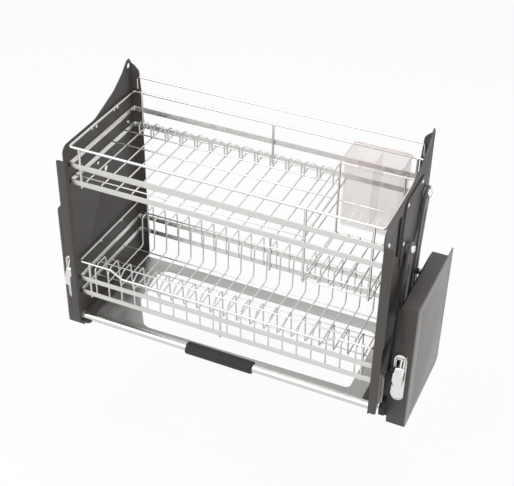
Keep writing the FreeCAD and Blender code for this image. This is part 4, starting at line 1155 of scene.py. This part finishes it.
class DISHRACK_OT_stage(bpy.types.Operator):
    """Pale floor, soft light and the camera"""
    bl_idname = "dish_rack.stage"
    bl_label = "Stage"

    def execute(self, context):
        scene = context.scene
        scene.view_settings.view_transform = "Standard"
        self.floor(scene)
        self.world(scene)
        self.lamps(scene)
        self.camera(scene)
        return {"FINISHED"}

    def floor(self, scene):
        """Pale floor that shows white and keeps the shadow."""
        bm = bmesh.new()
        bmesh.ops.create_grid(bm, x_segments=1, y_segments=1, size=FLOOR_HALF)
        bmesh.ops.translate(bm, verts=bm.verts, vec=(0, 0, cad_bounds[0][2] - LOWERED_BY * MM))
        mesh = bpy.data.meshes.new("floor")
        bm.to_mesh(mesh)
        bm.free()
        floor = bpy.data.objects.new("floor", mesh)
        scene.collection.objects.link(floor)
        material = bpy.data.materials.new("pale_floor")
        material.use_nodes = True
        tree = material.node_tree
        tree.nodes.clear()
        out = tree.nodes.new("ShaderNodeOutputMaterial")
        matt = tree.nodes.new("ShaderNodeBsdfDiffuse")
        matt.inputs["Color"].default_value = grey(FLOOR_GREY)
        glow = tree.nodes.new("ShaderNodeEmission")
        glow.inputs["Strength"].default_value = 1.0
        mixed(tree, math_node(tree, "MULTIPLY", bare_view(tree), FLOOR_GLOW), matt, glow, out)
        mesh.materials.append(material)

    def world(self, scene):
        """Soft studio light from all round, seen as plain white."""
        world = bpy.data.worlds.new("studio")
        scene.world = world
        world.use_nodes = True
        tree = world.node_tree
        tree.nodes.clear()
        out = tree.nodes.new("ShaderNodeOutputWorld")
        where = tree.nodes.new("ShaderNodeTexCoord")
        split = tree.nodes.new("ShaderNodeSeparateXYZ")
        tree.links.new(where.outputs["Generated"], split.inputs[0])
        ramp = tree.nodes.new("ShaderNodeValToRGB")
        steps = ramp.color_ramp.elements
        for step, (spot, level) in zip(steps, (SKY[0], SKY[-1])):
            step.position = spot
            step.color = grey(level)
        for spot, level in SKY[1:-1]:
            steps.new(spot).color = grey(level)
        height = math_node(tree, "MULTIPLY_ADD", split.outputs["Z"], 0.5, 0.5)
        tree.links.new(height, ramp.inputs["Fac"])
        soft = tree.nodes.new("ShaderNodeBackground")
        soft.inputs["Strength"].default_value = SKY_STRENGTH
        tree.links.new(ramp.outputs["Color"], soft.inputs["Color"])
        white = tree.nodes.new("ShaderNodeBackground")
        white.inputs["Color"].default_value = grey(1.0)
        mixed(tree, bare_view(tree), soft, white, out)

    def lamps(self, scene):
        """Round area lamps, all turned to the middle of the rack."""
        for name, spot, size, power in LAMPS:
            lamp = bpy.data.lights.new(name, "AREA")
            lamp.shape = "DISK"
            lamp.size = size
            lamp.energy = power
            holder = bpy.data.objects.new(name, lamp)
            holder.location = spot
            aim = Vector(LAMP_TARGET) - Vector(spot)
            holder.rotation_euler = aim.to_track_quat("-Z", "Y").to_euler()
            scene.collection.objects.link(holder)

    def camera(self, scene):
        """Camera at the photograph's angle."""
        azimuth, height, roll = (math.radians(a) for a in (AZIMUTH, ELEVATION, ROLL))
        flat = math.cos(height)
        ahead = Vector((-math.sin(azimuth) * flat, math.cos(azimuth) * flat, -math.sin(height)))
        level = Vector((math.cos(azimuth), math.sin(azimuth), 0))
        upright = level.cross(ahead)
        right = level * math.cos(roll) + upright * math.sin(roll)
        up = upright * math.cos(roll) - level * math.sin(roll)
        lens = bpy.data.cameras.new("camera")
        lens.sensor_fit = "HORIZONTAL"
        lens.sensor_width = SENSOR
        lens.lens = SENSOR * FOCAL / PHOTO_WIDTH
        holder = bpy.data.objects.new("camera", lens)
        turn = Matrix((right, up, -ahead)).transposed().to_4x4()
        holder.matrix_world = Matrix.Translation(Vector(CAMERA_AT)) @ turn
        scene.collection.objects.link(holder)
        scene.camera = holder


class DISHRACK_PT_panel(bpy.types.Panel):
    """Settings and pieces of the dish rack"""
    bl_label = "Dish rack"
    bl_idname = "DISHRACK_PT_panel"
    bl_space_type = "VIEW_3D"
    bl_region_type = "UI"
    bl_category = "Dish rack"

    def draw(self, context):
        layout = self.layout
        for group in (context.scene.dish_rack_sizes, context.scene.dish_rack_colours):
            box = layout.box()
            for name in group.__annotations__:
                box.prop(group, name)
        for operator in OPERATORS:
            layout.operator(operator.bl_idname)


OPERATORS = (
    DISHRACK_OT_stage,
    DISHRACK_OT_finishes,
    DISHRACK_OT_sheet_parts,
    DISHRACK_OT_latches,
    DISHRACK_OT_adjusters,
    DISHRACK_OT_fasteners,
    DISHRACK_OT_cutlery_box,
    DISHRACK_OT_upper_frame,
    DISHRACK_OT_lower_frame,
    DISHRACK_OT_plate_rack,
    DISHRACK_OT_upper_floor,
    DISHRACK_OT_hanging_section,
    DISHRACK_OT_guard_rail,
    DISHRACK_OT_handle,
)
CLASSES = (DishRackSizes, DishRackColours) + OPERATORS + (DISHRACK_PT_panel,)


def register():
    """Make the classes and the settings known."""
    for item in CLASSES:
        bpy.utils.register_class(item)
    bpy.types.Scene.dish_rack_sizes = bpy.props.PointerProperty(type=DishRackSizes)
    bpy.types.Scene.dish_rack_colours = bpy.props.PointerProperty(type=DishRackColours)


def unregister():
    """Take the classes and the settings away."""
    del bpy.types.Scene.dish_rack_colours
    del bpy.types.Scene.dish_rack_sizes
    for item in reversed(CLASSES):
        bpy.utils.unregister_class(item)


def plain(bounds):
    """Bounds as plain numbers."""
    return [[float(v) for v in corner] for corner in bounds]


def main():
    """Build the rack and its stage."""
    register()
    bpy.ops.dish_rack.stage()
    bpy.ops.dish_rack.finishes()
    bpy.ops.dish_rack.sheet_parts()
    bpy.ops.dish_rack.latches()
    bpy.ops.dish_rack.adjusters()
    bpy.ops.dish_rack.fasteners()
    bpy.ops.dish_rack.cutlery_box()
    bpy.ops.dish_rack.upper_frame()
    bpy.ops.dish_rack.lower_frame()
    bpy.ops.dish_rack.plate_rack()
    bpy.ops.dish_rack.upper_floor()
    bpy.ops.dish_rack.hanging_section()
    bpy.ops.dish_rack.guard_rail()
    bpy.ops.dish_rack.handle()


if __name__ == "__main__":
    main()
